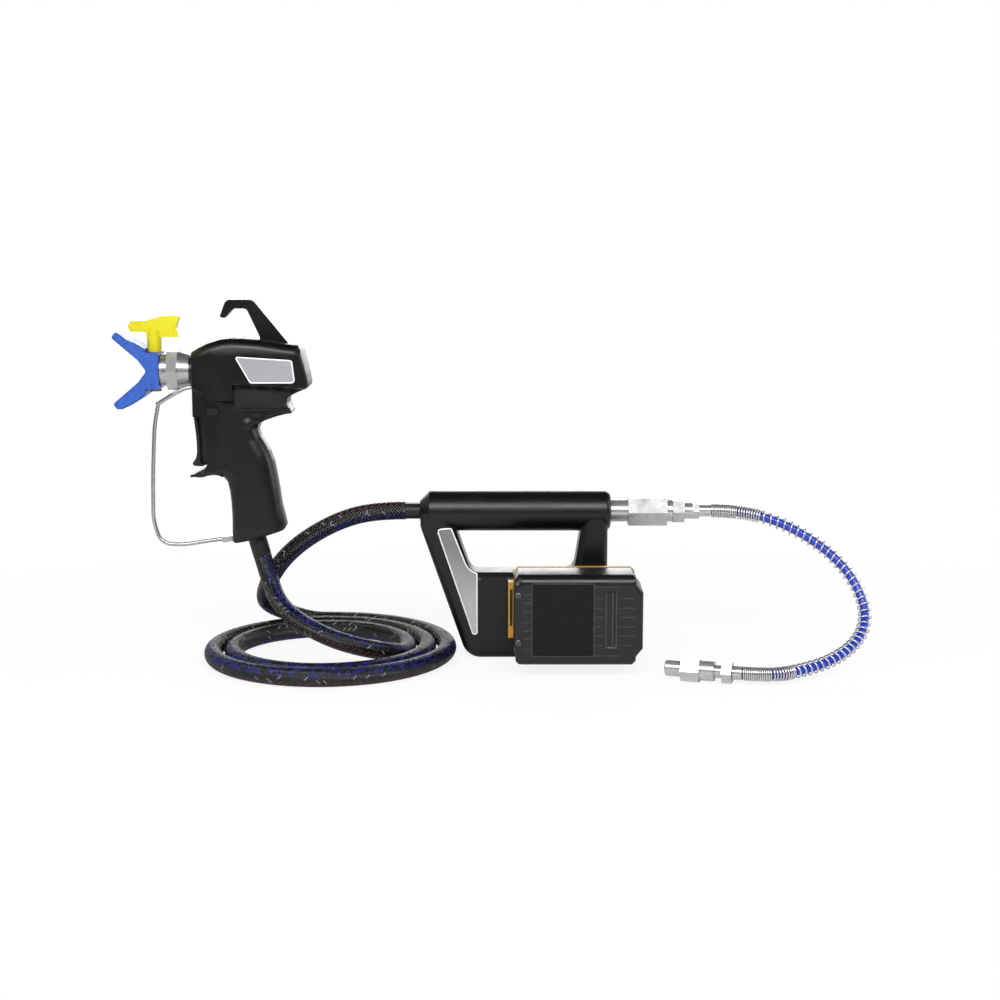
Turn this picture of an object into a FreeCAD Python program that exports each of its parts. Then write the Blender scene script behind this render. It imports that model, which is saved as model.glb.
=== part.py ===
import FreeCAD, Part
import math
import os
import Sketcher
from FreeCAD import Placement, Rotation, Vector

# Battery airless paint sprayer: a spray gun on a braided hose, a D-handle with a
# sliding battery, an in-line filter and a spring-guarded whip hose with a swivel inlet.
# Millimetres. X runs along the handle tube, away from the gun. Y points away from the
# battery. Z is up. The origin is the middle of the face that the handle stands on.

doc = FreeCAD.newDocument("PaintSprayer")
sheet = doc.addObject("Spreadsheet::Sheet", "Sizes")

SIZES = {
    "Places of the groups": {
        "gun_x": -290,
        "gun_z": 242,
        "line_z": 123.6,
        "fitting_x": 98,
        "fitting_y": -84,
        "fitting_z": 9.6,
        "fitting_turn": -17,
    },
    "Clearances": {
        "fit_gap": 0.05,
        "run_gap": 0.08,
        "part_gap": 0.3,
        "slide_gap": 0.4,
    },
    "Gun head": {
        "head_half_width": 23,
        "head_nose_half_width": 15,
        "head_tail_half_width": 18,
        "head_nose_top": 15.2,
        "head_crown_x": 22,
        "head_crown_top": 27.5,
        "head_crown_round": 40,
        "head_tail_top": 21.2,
        "head_tail_x": 88.7,
        "head_back_x": 97.4,
        "head_back_z": -11.5,
        "head_shoulder_x": 16,
        "head_shoulder_round": 25,
        "head_edge_round": 7,
        "head_flank_end_x": 89,
        "cheek_front_z": -23.5,
        "cheek_low_z": -27.6,
        "cheek_low_x": 20,
        "notch_x": 78.4,
        "notch_z": -26,
        "spur_x": 82.5,
        "spur_z": -33.6,
        "web_x": 54,
        "web_z": -47.5,
    },
    "Side scoop and plate of the head": {
        "scoop_x": 33,
        "scoop_top_z": -13.5,
        "scoop_deep_z": -18.5,
        "scoop_low_z": -31,
        "scoop_depth": 4.5,
        "scoop_foot_depth": 2.2,
        "gun_plate_x": 37.5,
        "gun_plate_back_x": 88,
        "gun_plate_top_z": 12.8,
        "gun_plate_low_z": -9.3,
        "gun_plate_thickness": 0.8,
    },
    "Trigger housing and grip": {
        "block_half_width": 17.5,
        "block_back_x": 40,
        "slot_top_z": -37,
        "slot_bottom_z": -84.9,
        "slot_back_x": 17.8,
        "slot_half_width": 11.2,
        "lip_x": -4,
        "lip_z": -88.8,
        "lip_thickness": 3.4,
        "wall_front_x": 8.8,
        "wall_hollow_x": 11.4,
        "wall_hollow_z": -71.5,
        "grip_half_width": 17,
        "grip_top_x": 21,
        "grip_top_z": -38,
        "grip_palm_x": 50,
        "grip_neck_x": 67,
        "grip_neck_z": -75,
        "grip_waist_x": 70.4,
        "grip_waist_z": -99,
        "grip_finger_x": 30.6,
        "grip_finger_z": -97,
        "grip_swell_x": 31.2,
        "grip_swell_z": -122,
        "grip_heel_x": 76.5,
        "grip_toe_x": 29,
        "grip_back_round": 14,
        "grip_front_round": 8,
        "grip_heel_z": -130,
        "grip_toe_z": -143.5,
    },
    "Hanging hook": {
        "hook_thickness": 10,
        "hook_tip_x": 23.6,
        "hook_tip_z": 44.2,
        "hook_top_z": 58.2,
        "hook_bar": 7.2,
        "hook_crown_x": 29,
        "hook_bend_x": 51,
        "hook_foot_x": 56.4,
        "hook_back_x": 80,
        "hook_foot_z": 14,
    },
    "Trigger and lock": {
        "trigger_half_width": 10.8,
        "pivot_x": 12.8,
        "pivot_z": -42.5,
        "pin_radius": 1.6,
        "pin_half_length": 14.5,
        "trigger_top_z": -38.4,
        "trigger_tip_z": -81.4,
        "trigger_tip_x": -2.4,
        "trigger_face_x": 1.2,
        "trigger_back_x": 9.5,
        "trigger_nub_x": 14,
        "fork_half_gap": 3.2,
        "trigger_spring_radius": 3.1,
        "lock_x": 18,
        "lock_z": -33,
        "lock_width": 9.6,
        "lock_height": 6.2,
        "lock_stand_out": 1.2,
        "lock_travel": 4,
        "switch_z": -63,
        "switch_length": 7.5,
        "switch_height": 12,
        "switch_half_width": 4.5,
    },
    "Valve, needle and solenoid": {
        "spigot_radius": 9.4,
        "spigot_front_x": -17,
        "valve_radius": 12.5,
        "valve_front_x": 2,
        "valve_back_x": 36,
        "valve_bore": 3.4,
        "seat_radius": 1.5,
        "seat_length": 2,
        "diffuser_radius": 9,
        "diffuser_length": 2.4,
        "needle_radius": 2.2,
        "needle_front_x": -14.6,
        "plunger_radius": 6,
        "plunger_front_x": 42,
        "plunger_back_x": 57,
        "coil_radius": 13,
        "coil_bore": 6.4,
        "coil_back_x": 68,
        "coil_wall": 3,
        "needle_travel": 1.5,
        "needle_spring_radius": 4.6,
        "needle_spring_bore": 3,
    },
    "Retaining nut and seal ring": {
        "nut_front_x": -26.1,
        "nut_collar_radius": 13.3,
        "nut_hex_x": -20.2,
        "nut_hex_end_x": -11.5,
        "nut_across_flats": 31.4,
        "nut_taper_radius": 15.4,
        "nut_back_x": -2.1,
        "nut_back_radius": 12.4,
        "nut_mouth_radius": 11.6,
        "nut_step_x": -19.4,
        "ring_radius": 10.4,
    },
    "Tip guard and spray tip": {
        "guard_rear_x": -26.5,
        "guard_half_height": 15,
        "guard_half_width": 14,
        "guard_brow_x": -38.2,
        "guard_wing_out_x": -61,
        "guard_wing_out_z": 32.4,
        "guard_wing_tip_x": -65.4,
        "guard_wing_tip_z": 27.5,
        "guard_wing_tip_half_width": 11,
        "guard_jaw_x": -43.4,
        "guard_jaw_z": 9.2,
        "guard_mouth_x": -37.4,
        "guard_mouth_z": 1.2,
        "guard_spigot_x": -19.7,
        "guard_spigot_radius": 11.3,
        "guard_mouth_bore": 4,
        "tip_x": -31.6,
        "tip_barrel_radius": 5,
        "tip_barrel_low_z": -17.5,
        "tip_barrel_top_z": 24,
        "tip_orifice": 1,
        "tip_stem_radius": 5.85,
        "tip_blade_half_thickness": 3.6,
        "tip_blade_low_z": 31.8,
        "tip_blade_top_z": 40.8,
        "tip_blade_peak_z": 44.8,
        "tip_blade_nose_x": -53,
        "tip_blade_tail_x": -9.8,
        "tip_web_z": 27.4,
        "seal_bore": 1.6,
    },
    "Trigger guard wire": {
        "wire_radius": 1.7,
        "prong_y": 10.6,
        "prong_z": -13.6,
        "prong_depth": 4.5,
        "clip_x": 21,
        "clip_length": 11.5,
        "clip_half_width": 4.5,
        "clip_low_z": -145.2,
        "clip_height": 6.4,
    },
    "Gun fluid tube and hose boot": {
        "gun_tube_radius": 4.5,
        "gun_tube_bore": 3,
        "boot_x": 49.9,
        "boot_z": -140.8,
        "boot_radius": 7.7,
        "boot_length": 15,
        "boot_inset": 7,
        "boot_lean": 15.4,
    },
    "Hoses": {
        "hose_radius": 7.5,
        "coil_outer_radius": 106.5,
        "coil_pitch": 17,
        "coil_x": -182,
        "coil_y": -12,
        "whip_radius": 3.55,
        "spring_radius": 4.95,
        "spring_wire": 1.34,
        "spring_curls": 40,
        "sleeve_length": 22,
        "sleeve_radius": 5.9,
        "sleeve_bore": 3.9,
    },
    "Handle": {
        "tube_radius": 16.8,
        "tube_left_x": -102.4,
        "tube_right_x": 57.4,
        "tube_left_bevel": 8,
        "tube_right_round": 5,
        "handle_half_depth": 16,
        "leg_outer_x": -102,
        "leg_outer_z": 112,
        "base_left_x": -63,
        "base_right_x": 54.7,
        "base_height": 73,
        "base_left_round": 16,
        "base_right_round": 6,
        "window_left_x": -76,
        "window_right_x": 34,
        "window_low_left_x": -59.5,
        "window_low_right_x": 26.5,
        "window_round": 10,
        "outer_edge_round": 6,
        "window_bevel": 5,
        "panel_left_x": -51.4,
        "panel_width": 22,
        "panel_low_z": 4,
        "panel_top_z": 69,
        "panel_depth": 1.2,
        "leg_plate_thickness": 0.8,
        "collar_half_width": 8.6,
        "collar_half_height": 6.4,
        "collar_length": 12.3,
        "fluid_tube_radius": 5,
        "fluid_tube_bore": 3.2,
        "fluid_tube_end_x": 44,
    },
    "Battery mount": {
        "rail_x": -18,
        "rail_length": 84,
        "block_low_z": 22,
        "block_height": 52,
        "block_seat": 6,
        "rail_low_z": 27,
        "rail_high_z": 67,
        "rail_neck": 2.6,
        "rail_neck_depth": 4,
        "rail_lip": 2.6,
        "rail_lip_thickness": 2.6,
        "blade_x": -16,
        "blade_count": 4,
        "blade_pitch": 7,
        "blade_thickness": 0.8,
        "blade_length": 14,
        "blade_depth": 5,
        "board_x": -20,
        "board_z": 16,
        "board_y": 1,
        "board_length": 70,
        "board_height": 40,
        "board_thickness": 1.6,
    },
    "Battery": {
        "pack_x": -24.5,
        "pack_length": 99,
        "pack_low_z": 10,
        "pack_height": 74,
        "pack_back_y": -17,
        "pack_split_y": -44,
        "pack_front_y": -82,
        "pack_bump": 5.5,
        "pack_bump_height": 40,
        "pack_round": 6,
        "pack_wall": 2.4,
        "latch_stand_out": 4,
        "latch_low_z": 23,
        "latch_height": 47,
        "latch_y": -38,
        "latch_depth": 9,
        "latch_inset": 5.5,
        "latch_travel": 3,
        "latch_spring_radius": 2.4,
        "latch_pocket": 14.5,
        "cell_radius": 9,
        "cell_length": 65,
        "cell_count": 5,
    },
    "Filter line": {
        "outlet_radius": 9.25,
        "outlet_inner_x": 45,
        "outlet_thread_radius": 8,
        "outlet_end_x": 75.5,
        "filter_x": 72,
        "filter_back_x": 104.6,
        "filter_across_flats": 23.4,
        "filter_bore": 8,
        "filter_chamber_x": 78,
        "adapter_root_x": 98,
        "adapter_back_x": 109.2,
        "adapter_radius": 9.3,
        "adapter_bore": 3.2,
        "adapter_pin_radius": 5.6,
        "adapter_pin_x": 114,
        "element_radius": 6.6,
        "element_bore": 4.6,
        "element_length": 14,
        "whip_nut_x": 109.5,
        "whip_nut_back_x": 119.2,
        "whip_nut_flats": 18.2,
        "whip_nut_lip": 2.1,
        "stem_radius": 4.4,
        "stem_collar_x": 119.5,
        "stem_collar_back_x": 126.2,
        "stem_collar_radius": 6.8,
        "stem_hex_back_x": 131.8,
        "stem_hex_flats": 12.6,
        "stem_end_x": 141.5,
        "stem_neck_radius": 4.9,
        "stem_bore": 2.2,
    },
    "Inlet fitting": {
        "thread_radius": 6.58,
        "thread_length": 13.2,
        "inlet_bore": 3.4,
        "inlet_hex_flats": 18,
        "inlet_hex_length": 15,
        "inlet_body_radius": 8.2,
        "inlet_body_length": 11.5,
        "inlet_neck_radius": 5.2,
        "inlet_neck_length": 6.4,
        "swivel_nut_flats": 16.4,
        "swivel_nut_length": 8,
        "swivel_pin_radius": 4,
        "barrel_radius": 5.6,
        "barrel_length": 8,
    },
    "Fasteners": {
        "screw_radius": 1.5,
        "screw_head_radius": 2.9,
        "screw_head_height": 2,
        "screw_length": 13,
        "screw_head_y": 7,
    },
}


class Size:
    """A number that keeps the expression on the sheet that it comes from."""

    def __init__(self, value, text):
        self.value = value
        self.text = text

    def joined(self, sign, left, right, value):
        return Size(value, "(%s %s %s)" % (words(left), sign, words(right)))

    def __add__(self, other):
        return self.joined("+", self, other, self.value + plain(other))

    __radd__ = __add__

    def __sub__(self, other):
        return self.joined("-", self, other, self.value - plain(other))

    def __rsub__(self, other):
        return self.joined("-", other, self, plain(other) - self.value)

    def __mul__(self, other):
        return self.joined("*", self, other, self.value * plain(other))

    __rmul__ = __mul__

    def __truediv__(self, other):
        return self.joined("/", self, other, self.value / plain(other))

    def __neg__(self):
        return Size(-self.value, "(0 - %s)" % self.text)


def words(number):
    return number.text if isinstance(number, Size) else repr(number)


def plain(number):
    return number.value if isinstance(number, Size) else number


class NamedSizes:
    """Every size of the sheet under its own name."""


size = NamedSizes()


def fill_sheet():
    row = 0
    for group, values in SIZES.items():
        row += 1
        sheet.set("A%d" % row, group)
        for alias, value in values.items():
            row += 1
            sheet.set("A%d" % row, alias.replace("_", " "))
            sheet.set("B%d" % row, str(value))
            sheet.setAlias("B%d" % row, alias)
            setattr(size, alias, Size(value, "Sizes." + alias))
    doc.recompute()


fill_sheet()


# Ways to draw and combine

def place(thing, x=0, y=0, z=0, turn_y=0, turn_z=0):
    """Binds where a piece sits, and the turn about Y or Z that it has there."""
    for axis, turn in ((Vector(0, 1, 0), turn_y), (Vector(0, 0, 1), turn_z)):
        if plain(turn):
            thing.Placement = Placement(Vector(), Rotation(axis, abs(plain(turn))))
            if plain(turn) < 0:
                thing.Placement = Placement(Vector(), Rotation(-axis, abs(plain(turn))))
                turn = -turn
            thing.setExpression("Placement.Rotation.Angle", words(turn))
    for axis, value in (("x", x), ("y", y), ("z", z)):
        thing.setExpression("Placement.Base." + axis, words(value))
    return thing


def plane_of(body, role):
    for feature in body.Origin.OriginFeatures:
        if feature.Role == role:
            return feature


def dimension(sketch, kind, targets, value):
    index = sketch.addConstraint(Sketcher.Constraint(kind, *targets, plain(value)))
    sketch.setExpression("Constraints[%d]" % index, words(value))


def corner_arc(before, corner, after, radius):
    """Start, end, centre and sense of the arc that rounds a corner."""
    into = (corner - before).normalize()
    out = (after - corner).normalize()
    turn = math.acos(max(-1.0, min(1.0, into * out)))
    reach = radius * math.tan(turn / 2)
    start = corner - into * reach
    end = corner + out * reach
    left = into.x * out.y - into.y * out.x > 0
    side = Vector(-into.y, into.x, 0) if left else Vector(into.y, -into.x, 0)
    return start, end, start + side * radius, left


def draw(sketch, vertices):
    """A closed outline of straight runs. A vertex is (across, up) or, where the
    corner is round, (across, up, radius), each a plain number or a named size."""
    count = len(vertices)
    corners = [Vector(plain(v[0]), plain(v[1]), 0) for v in vertices]
    starts, ends, arcs = [], [], []
    for i, vertex in enumerate(vertices):
        if len(vertex) == 3:
            start, end, centre, left = corner_arc(
                corners[i - 1], corners[i], corners[(i + 1) % count], plain(vertex[2]))
            arcs.append((centre, left))
        else:
            start = end = corners[i]
            arcs.append(None)
        starts.append(start)
        ends.append(end)
    lines = []
    for i in range(count):
        lines.append(sketch.addGeometry(Part.LineSegment(ends[i], starts[(i + 1) % count])))
    for i, vertex in enumerate(vertices):
        before, after = lines[i - 1], lines[i]
        if arcs[i] is None:
            sketch.addConstraint(Sketcher.Constraint("Coincident", before, 2, after, 1))
            corner, point = after, 1
        else:
            centre, left = arcs[i]
            first, last = (starts[i], ends[i]) if left else (ends[i], starts[i])
            circle = Part.Circle(centre, Vector(0, 0, 1), plain(vertex[2]))
            angles = [math.atan2(p.y - centre.y, p.x - centre.x) for p in (first, last)]
            arc = sketch.addGeometry(Part.ArcOfCircle(circle, *angles))
            near, far = (1, 2) if left else (2, 1)
            sketch.addConstraint(Sketcher.Constraint("Tangent", before, 2, arc, near))
            sketch.addConstraint(Sketcher.Constraint("Tangent", arc, far, after, 1))
            dimension(sketch, "Radius", (arc,), vertex[2])
            corner, point = sketch.addGeometry(Part.Point(corners[i]), True), 1
            sketch.addConstraint(Sketcher.Constraint("PointOnObject", corner, 1, before))
            sketch.addConstraint(Sketcher.Constraint("PointOnObject", corner, 1, after))
        dimension(sketch, "DistanceX", (-1, 1, corner, point), vertex[0])
        dimension(sketch, "DistanceY", (-1, 1, corner, point), vertex[1])


def sketched(name, role, vertices, lift=None):
    """A body with one closed outline drawn on one of its own planes."""
    body = doc.addObject("PartDesign::Body", name)
    body.Label = name
    sketch = body.newObject("Sketcher::SketchObject", name + "_outline")
    sketch.AttachmentSupport = [(plane_of(body, role), "")]
    sketch.MapMode = "FlatFace"
    if lift is not None:
        sketch.setExpression("AttachmentOffset.Base.z", words(lift))
    draw(sketch, vertices)
    return body, sketch


def turned(name, vertices):
    """A piece turned about the X axis, from (station, radius) vertices."""
    body, sketch = sketched(name, "XZ_Plane", vertices)
    revolution = body.newObject("PartDesign::Revolution", name + "_turned")
    revolution.Profile = sketch
    revolution.ReferenceAxis = (sketch, ["H_Axis"])
    revolution.Angle = 360
    return body


def padded(name, role, vertices, depth, lift=None):
    """An outline given the same depth on both sides of its plane, or, with a lift,
    a depth that starts at the lifted plane."""
    body, sketch = sketched(name, role, vertices, lift)
    pad = body.newObject("PartDesign::Pad", name + "_pad")
    pad.Profile = sketch
    if lift is None:
        pad.Midplane = True
    pad.setExpression("Length", words(depth))
    return body


def box(name, x, y, z, length, width, height):
    piece = doc.addObject("Part::Box", name)
    for side, value in (("Length", length), ("Width", width), ("Height", height)):
        piece.setExpression(side, words(value))
    return place(piece, x, y, z)


def rod(name, x, y, z, radius, length, axis="x"):
    """A cylinder that starts at a point and runs along +X, +Y or +Z."""
    piece = doc.addObject("Part::Cylinder", name)
    piece.setExpression("Radius", words(radius))
    piece.setExpression("Height", words(length))
    if axis == "x":
        piece.Placement = Placement(Vector(), Rotation(Vector(0, 1, 0), 90))
    if axis == "y":
        piece.Placement = Placement(Vector(), Rotation(Vector(1, 0, 0), -90))
    return place(piece, x, y, z)


def fused(name, *pieces):
    whole = doc.addObject("Part::MultiFuse", name)
    whole.Shapes = list(pieces)
    return whole


def grouped(name, *pieces):
    """Separate solids kept as one group."""
    group = doc.addObject("Part::Compound", name)
    group.Links = list(pieces)
    return group


def common(name, *pieces):
    whole = doc.addObject("Part::MultiCommon", name)
    whole.Shapes = list(pieces)
    return whole


def cut(name, base, *tools):
    tool = tools[0] if len(tools) == 1 else fused(name + "_tools", *tools)
    rest = doc.addObject("Part::Cut", name)
    rest.Base = base
    rest.Tool = tool
    return rest


def rounded(name, base, radius, chosen, kind="Fillet"):
    """The base with a fillet or bevel along each edge that the test chooses."""
    doc.recompute()
    fillet = doc.addObject("Part::" + kind, name)
    fillet.Base = base
    edges = []
    for index, edge in enumerate(base.Shape.Edges, 1):
        middle = edge.valueAt((edge.FirstParameter + edge.LastParameter) / 2)
        if not edge.Degenerated and chosen(middle, edge):
            edges.append((index, plain(radius), plain(radius)))
    fillet.Edges = edges
    return fillet


def shaped(name, shape):
    """A piece whose shape comes from code."""
    piece = doc.addObject("Part::Feature", name)
    piece.Shape = shape
    piece.Placement = Placement()
    return piece


REACH = 700


def half(name, whole, front):
    """The part of a solid in front of the middle plane, or the part behind it."""
    side = box(name + "_side", -REACH, -REACH if front else 0, -REACH, 2 * REACH, REACH, 2 * REACH)
    return common(name, whole, side)


def mirrored(vertices):
    """An outline's upper half followed by its mirror image in the X axis."""
    flipped = [(v[0], -v[1]) + tuple(v[2:]) for v in reversed(vertices)]
    return vertices + flipped


def ring(name, start, end, outside, bore):
    return turned(name, [(start, bore), (start, outside), (end, outside), (end, bore)])


def hex_bar(name, flats, start, length):
    """A hexagonal bar along X with flats above and below."""
    flat = flats / 2
    corner = flats / math.sqrt(3)
    return padded(name, "YZ_Plane", [
        (corner, 0), (corner / 2, flat), (-corner / 2, flat),
        (-corner, 0), (-corner / 2, -flat), (corner / 2, -flat),
    ], length, lift=start)


def on_side(distance, chosen):
    """A test for edges in a face at this distance from the middle plane."""
    def test(middle, edge):
        return abs(abs(middle.y) - plain(distance)) < 0.1 and chosen(middle, edge)
    return test


NODES = {}


def node(name, piece, on_gun=False):
    """Keeps a finished piece under the name of its file. A gun piece is drawn from the
    front face of the gun on the spray axis and is moved to its place here."""
    if on_gun:
        piece = place(grouped(name, piece), size.gun_x, 0, size.gun_z)
    piece.Label = name
    NODES[name] = piece
    return piece


# Tubes and wound wire

def tube_path(points):
    """Straight runs joined by arcs, each as large as its two runs allow."""
    corners = [Vector(*[plain(value) for value in point]) for point in points]
    runs = [(b - a).Length for a, b in zip(corners, corners[1:])]
    edges, radii = [], []
    last = corners[0]
    for i in range(1, len(corners) - 1):
        into = (corners[i] - corners[i - 1]).normalize()
        out = (corners[i + 1] - corners[i]).normalize()
        turn = math.acos(max(-1.0, min(1.0, into * out)))
        reach = 0.45 * min(runs[i - 1], runs[i])
        radius = reach / math.tan(turn / 2)
        radii.append(radius)
        start = corners[i] - into * reach
        end = corners[i] + out * reach
        centre = corners[i] + (out - into).normalize() * (radius / math.cos(turn / 2))
        middle = centre + (corners[i] - centre).normalize() * radius
        edges.append(Part.LineSegment(last, start).toShape())
        edges.append(Part.Arc(start, middle, end).toShape())
        last = end
    edges.append(Part.LineSegment(last, corners[-1]).toShape())
    return Part.Wire(edges), radii


def section(path, radius, sides=0, upright=Vector(0, 0, 1)):
    """A circle, or a polygon of the same area, across the start of a path."""
    first = path.Edges[0]
    start = first.valueAt(first.FirstParameter)
    along = first.tangentAt(first.FirstParameter)
    if not sides:
        return Part.Wire([Part.Circle(start, along, radius).toShape()])
    up = (upright - along * (upright * along)).normalize()
    across = along.cross(up)
    wedge = math.pi / sides
    reach = radius * math.sqrt(wedge / (math.sin(wedge) * math.cos(wedge)))
    corners = []
    for k in range(sides + 1):
        angle = (2 * k + 1) * wedge
        corners.append(start + up * (reach * math.cos(angle)) + across * (reach * math.sin(angle)))
    return Part.makePolygon(corners)


def swept(path, radius, bore=0, sides=0):
    """A tube along a path, hollow where it has a bore."""
    tube = path.makePipeShell([section(path, radius, sides)], True, False)
    if bore:
        tube = tube.cut(path.makePipeShell([section(path, bore, sides)], True, False))
    return tube


def arc_from(start, along, end):
    """The arc that leaves a point in a given direction and ends at another."""
    chord = end - start
    side = along.cross(chord).cross(along).normalize()
    radius = (chord * chord) / (2 * (chord * side))
    centre = start + side * radius
    middle = centre + ((start - centre) + (end - centre)).normalize() * radius
    return Part.Arc(start, middle, end).toShape()


def biarc(start, start_along, end, end_along):
    """Two arcs that join two points and are tangent to both directions."""
    gap = end - start
    a = 2 * (1 - start_along * end_along)
    b = 2 * (gap * (start_along + end_along))
    c = -(gap * gap)
    reach = -c / b if a < 1e-9 else (math.sqrt(b * b - 4 * a * c) - b) / (2 * a)
    near = start + start_along * reach
    far = end - end_along * reach
    joint = (near + far) / 2
    return [arc_from(start, start_along, joint), arc_from(joint, (far - near).normalize(), end)]


def wound(points, directions):
    """A wire of biarcs through points with given directions."""
    edges = []
    for i in range(len(points) - 1):
        edges += biarc(points[i], directions[i], points[i + 1], directions[i + 1])
    return Part.Wire(edges)


def check_tube(name, tube, path, area, radii):
    """Prints a tube's length and tightest bend and compares volume with length."""
    expected = area * path.Length
    print("%s: length %.0f mm, tightest bend %.1f mm, volume %.4f of section x length"
          % (name, path.Length, min(radii), tube.Volume / expected))


# Gun housing: a domed head, a trigger housing and a grip, moulded as two halves

def head_form():
    side = padded("head_side", "XZ_Plane", [
        (0, size.cheek_front_z),
        (0, size.head_nose_top),
        (size.head_crown_x, size.head_crown_top + 0.9, size.head_crown_round),
        (size.head_tail_x, size.head_tail_top),
        (size.head_back_x, size.head_back_z),
        (size.notch_x + 7, size.notch_z + 8),
        (size.notch_x, size.notch_z, 4),
        (size.spur_x, size.spur_z),
        (size.web_x, size.web_z),
        (size.cheek_low_x + 18, size.cheek_low_z),
        (size.cheek_low_x, size.cheek_low_z, 20),
    ], size.head_half_width * 2 + 4)
    plan = padded("head_plan", "XY_Plane", mirrored([
        (0, size.head_nose_half_width),
        (size.head_shoulder_x, size.head_half_width),
        (size.head_flank_end_x, size.head_half_width),
        (size.head_back_x + 1, size.head_tail_half_width),
    ]), 200)
    head = common("head_blank", side, plan)

    def upright(middle, edge):
        return edge.Length > 15 and abs(edge.tangentAt(edge.FirstParameter).z) > 0.99
    head = rounded("head_shouldered", head, size.head_shoulder_round,
                   on_side(size.head_half_width, upright))

    def top_edge(middle, edge):
        above = middle.z > size.head_nose_top.value - 0.5
        return above and abs(middle.y) > size.head_nose_half_width.value - 0.5
    head = rounded("head_domed", head, size.head_edge_round, top_edge)
    scoops = []
    for sign in (-1, 1):
        outside = sign * (size.head_half_width + 1)
        scoops.append(padded("scoop_%d" % (sign + 1), "YZ_Plane", [
            (outside, size.scoop_top_z + 1),
            (outside - sign * (size.scoop_depth + 1), size.scoop_deep_z),
            (outside - sign * (size.scoop_foot_depth + 1), size.scoop_low_z),
            (outside, size.scoop_low_z),
        ], size.head_back_x, lift=size.scoop_x))
    return cut("head_form", head, *scoops)


def trigger_block():
    return padded("trigger_block", "XZ_Plane", [
        (0.6, size.cheek_front_z + 4),
        (0.6, size.slot_top_z - 1.5),
        (size.wall_front_x, size.slot_top_z - 1.5),
        (size.wall_front_x - 0.4, size.slot_top_z - 24),
        (size.wall_hollow_x, size.wall_hollow_z, 7),
        (size.lip_x + 4, size.lip_z + size.lip_thickness, 8),
        (size.lip_x, size.lip_z + 0.9),
        (size.lip_x + 0.4, size.lip_z),
        (size.lip_x + 12, size.lip_z, 4),
        (size.lip_x + 22, size.lip_z + 3.4, 6),
        (size.lip_x + 32, size.lip_z - 3),
        (size.block_back_x, size.lip_z - 3),
        (size.block_back_x, size.cheek_front_z + 4),
    ], size.block_half_width * 2)


def grip_form():
    grip = padded("grip_side", "XZ_Plane", [
        (size.grip_top_x, size.grip_top_z),
        (size.grip_top_x, size.lip_z + 0.8),
        (size.grip_finger_x, size.grip_finger_z),
        (size.grip_swell_x, size.grip_swell_z),
        (size.grip_toe_x, size.grip_toe_z),
        (size.grip_heel_x, size.grip_heel_z),
        (size.grip_waist_x, size.grip_waist_z, 200),
        (size.grip_neck_x, size.grip_neck_z, 40),
        (size.grip_palm_x, size.grip_top_z),
    ], size.grip_half_width * 2)

    def palm_edge(middle, edge):
        low = middle.z < size.grip_heel_z.value + 2
        sole = middle.x < size.grip_waist_x.value - 0.4 and low
        return middle.x > size.grip_palm_x.value - 2 and not sole

    def finger_edge(middle, edge):
        low = size.grip_toe_z.value < middle.z < size.grip_finger_z.value
        return low and middle.x < size.grip_swell_x.value + 1
    grip = rounded("grip_palmed", grip, size.grip_back_round,
                   on_side(size.grip_half_width, palm_edge))
    return rounded("grip_form", grip, size.grip_front_round,
                   on_side(size.grip_half_width, finger_edge))


def screw(name, x, head_y, z, spare=0, deep=0):
    """A screw along Y whose head faces the back, or the space that takes it."""
    radius = size.screw_radius + spare
    shank = rod(name + "_shank", x, head_y - size.screw_length - spare, z,
                radius, size.screw_length + spare, "y")
    head = rod(name + "_head", x, head_y, z, size.screw_head_radius + spare,
               size.screw_head_height + deep, "y")
    return fused(name, shank, head)


# Gun screws, as places on the side of the gun: over the valve, behind the solenoid,
# under the web, and twice in the grip
GUN_SCREWS = [(28, 18.6), (86, 2), (44, -44), (57, -100), (62, -124)]


def gun_screws(name, spare=0, deep=0):
    return [screw("%s_%d" % (name, i), x, size.screw_head_y, z, spare, deep)
            for i, (x, z) in enumerate(GUN_SCREWS)]


def lock_bar(name, spare, back_y, front_y):
    across = size.lock_width / 2 + spare
    up = size.lock_height / 2 + spare
    corner = size.lock_height * 0.45
    return padded(name, "XZ_Plane", [
        (size.lock_x - across, size.lock_z - up, corner),
        (size.lock_x + across, size.lock_z - up, corner),
        (size.lock_x + across, size.lock_z + up, corner),
        (size.lock_x - across, size.lock_z + up, corner),
    ], back_y - front_y, lift=-back_y)


def hook_bar(name, spare=0):
    """A flat hook: a crown with its tip turned down, and a sloping foot in the head."""
    top = size.hook_top_z
    under = top - size.hook_bar
    return padded(name, "XZ_Plane", [
        (size.hook_foot_x - spare, size.hook_foot_z - spare),
        (size.hook_foot_x - spare, size.head_crown_top + 0.5, 3),
        (size.hook_foot_x - 10.6, under, 4),
        (size.hook_crown_x + 6, under, 4),
        (size.hook_tip_x + 4, size.hook_tip_z - 1.2, 2),
        (size.hook_tip_x, size.hook_tip_z, 1),
        (size.hook_crown_x, top, 5),
        (size.hook_bend_x, top, 8),
        (size.hook_back_x + spare, size.head_tail_top + 1.4, 2),
        (size.hook_back_x + spare, size.hook_foot_z - spare),
    ], size.hook_thickness + 2 * spare)


def boot_form(name, bore, spare=0):
    boot = turned(name, [
        (-size.boot_inset - spare, bore),
        (-size.boot_inset - spare, size.boot_radius + spare),
        (size.boot_length, size.boot_radius + spare),
        (size.boot_length, bore),
    ])
    return place(boot, size.boot_x, 0, size.boot_z, turn_y=90 - size.boot_lean)


def boot_point(distance):
    """A point on the boot's axis, measured down from the sole of the grip."""
    lean = math.radians(size.boot_lean.value)
    return (size.boot_x + distance * math.sin(lean), 0, size.boot_z - distance * math.cos(lean))


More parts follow.
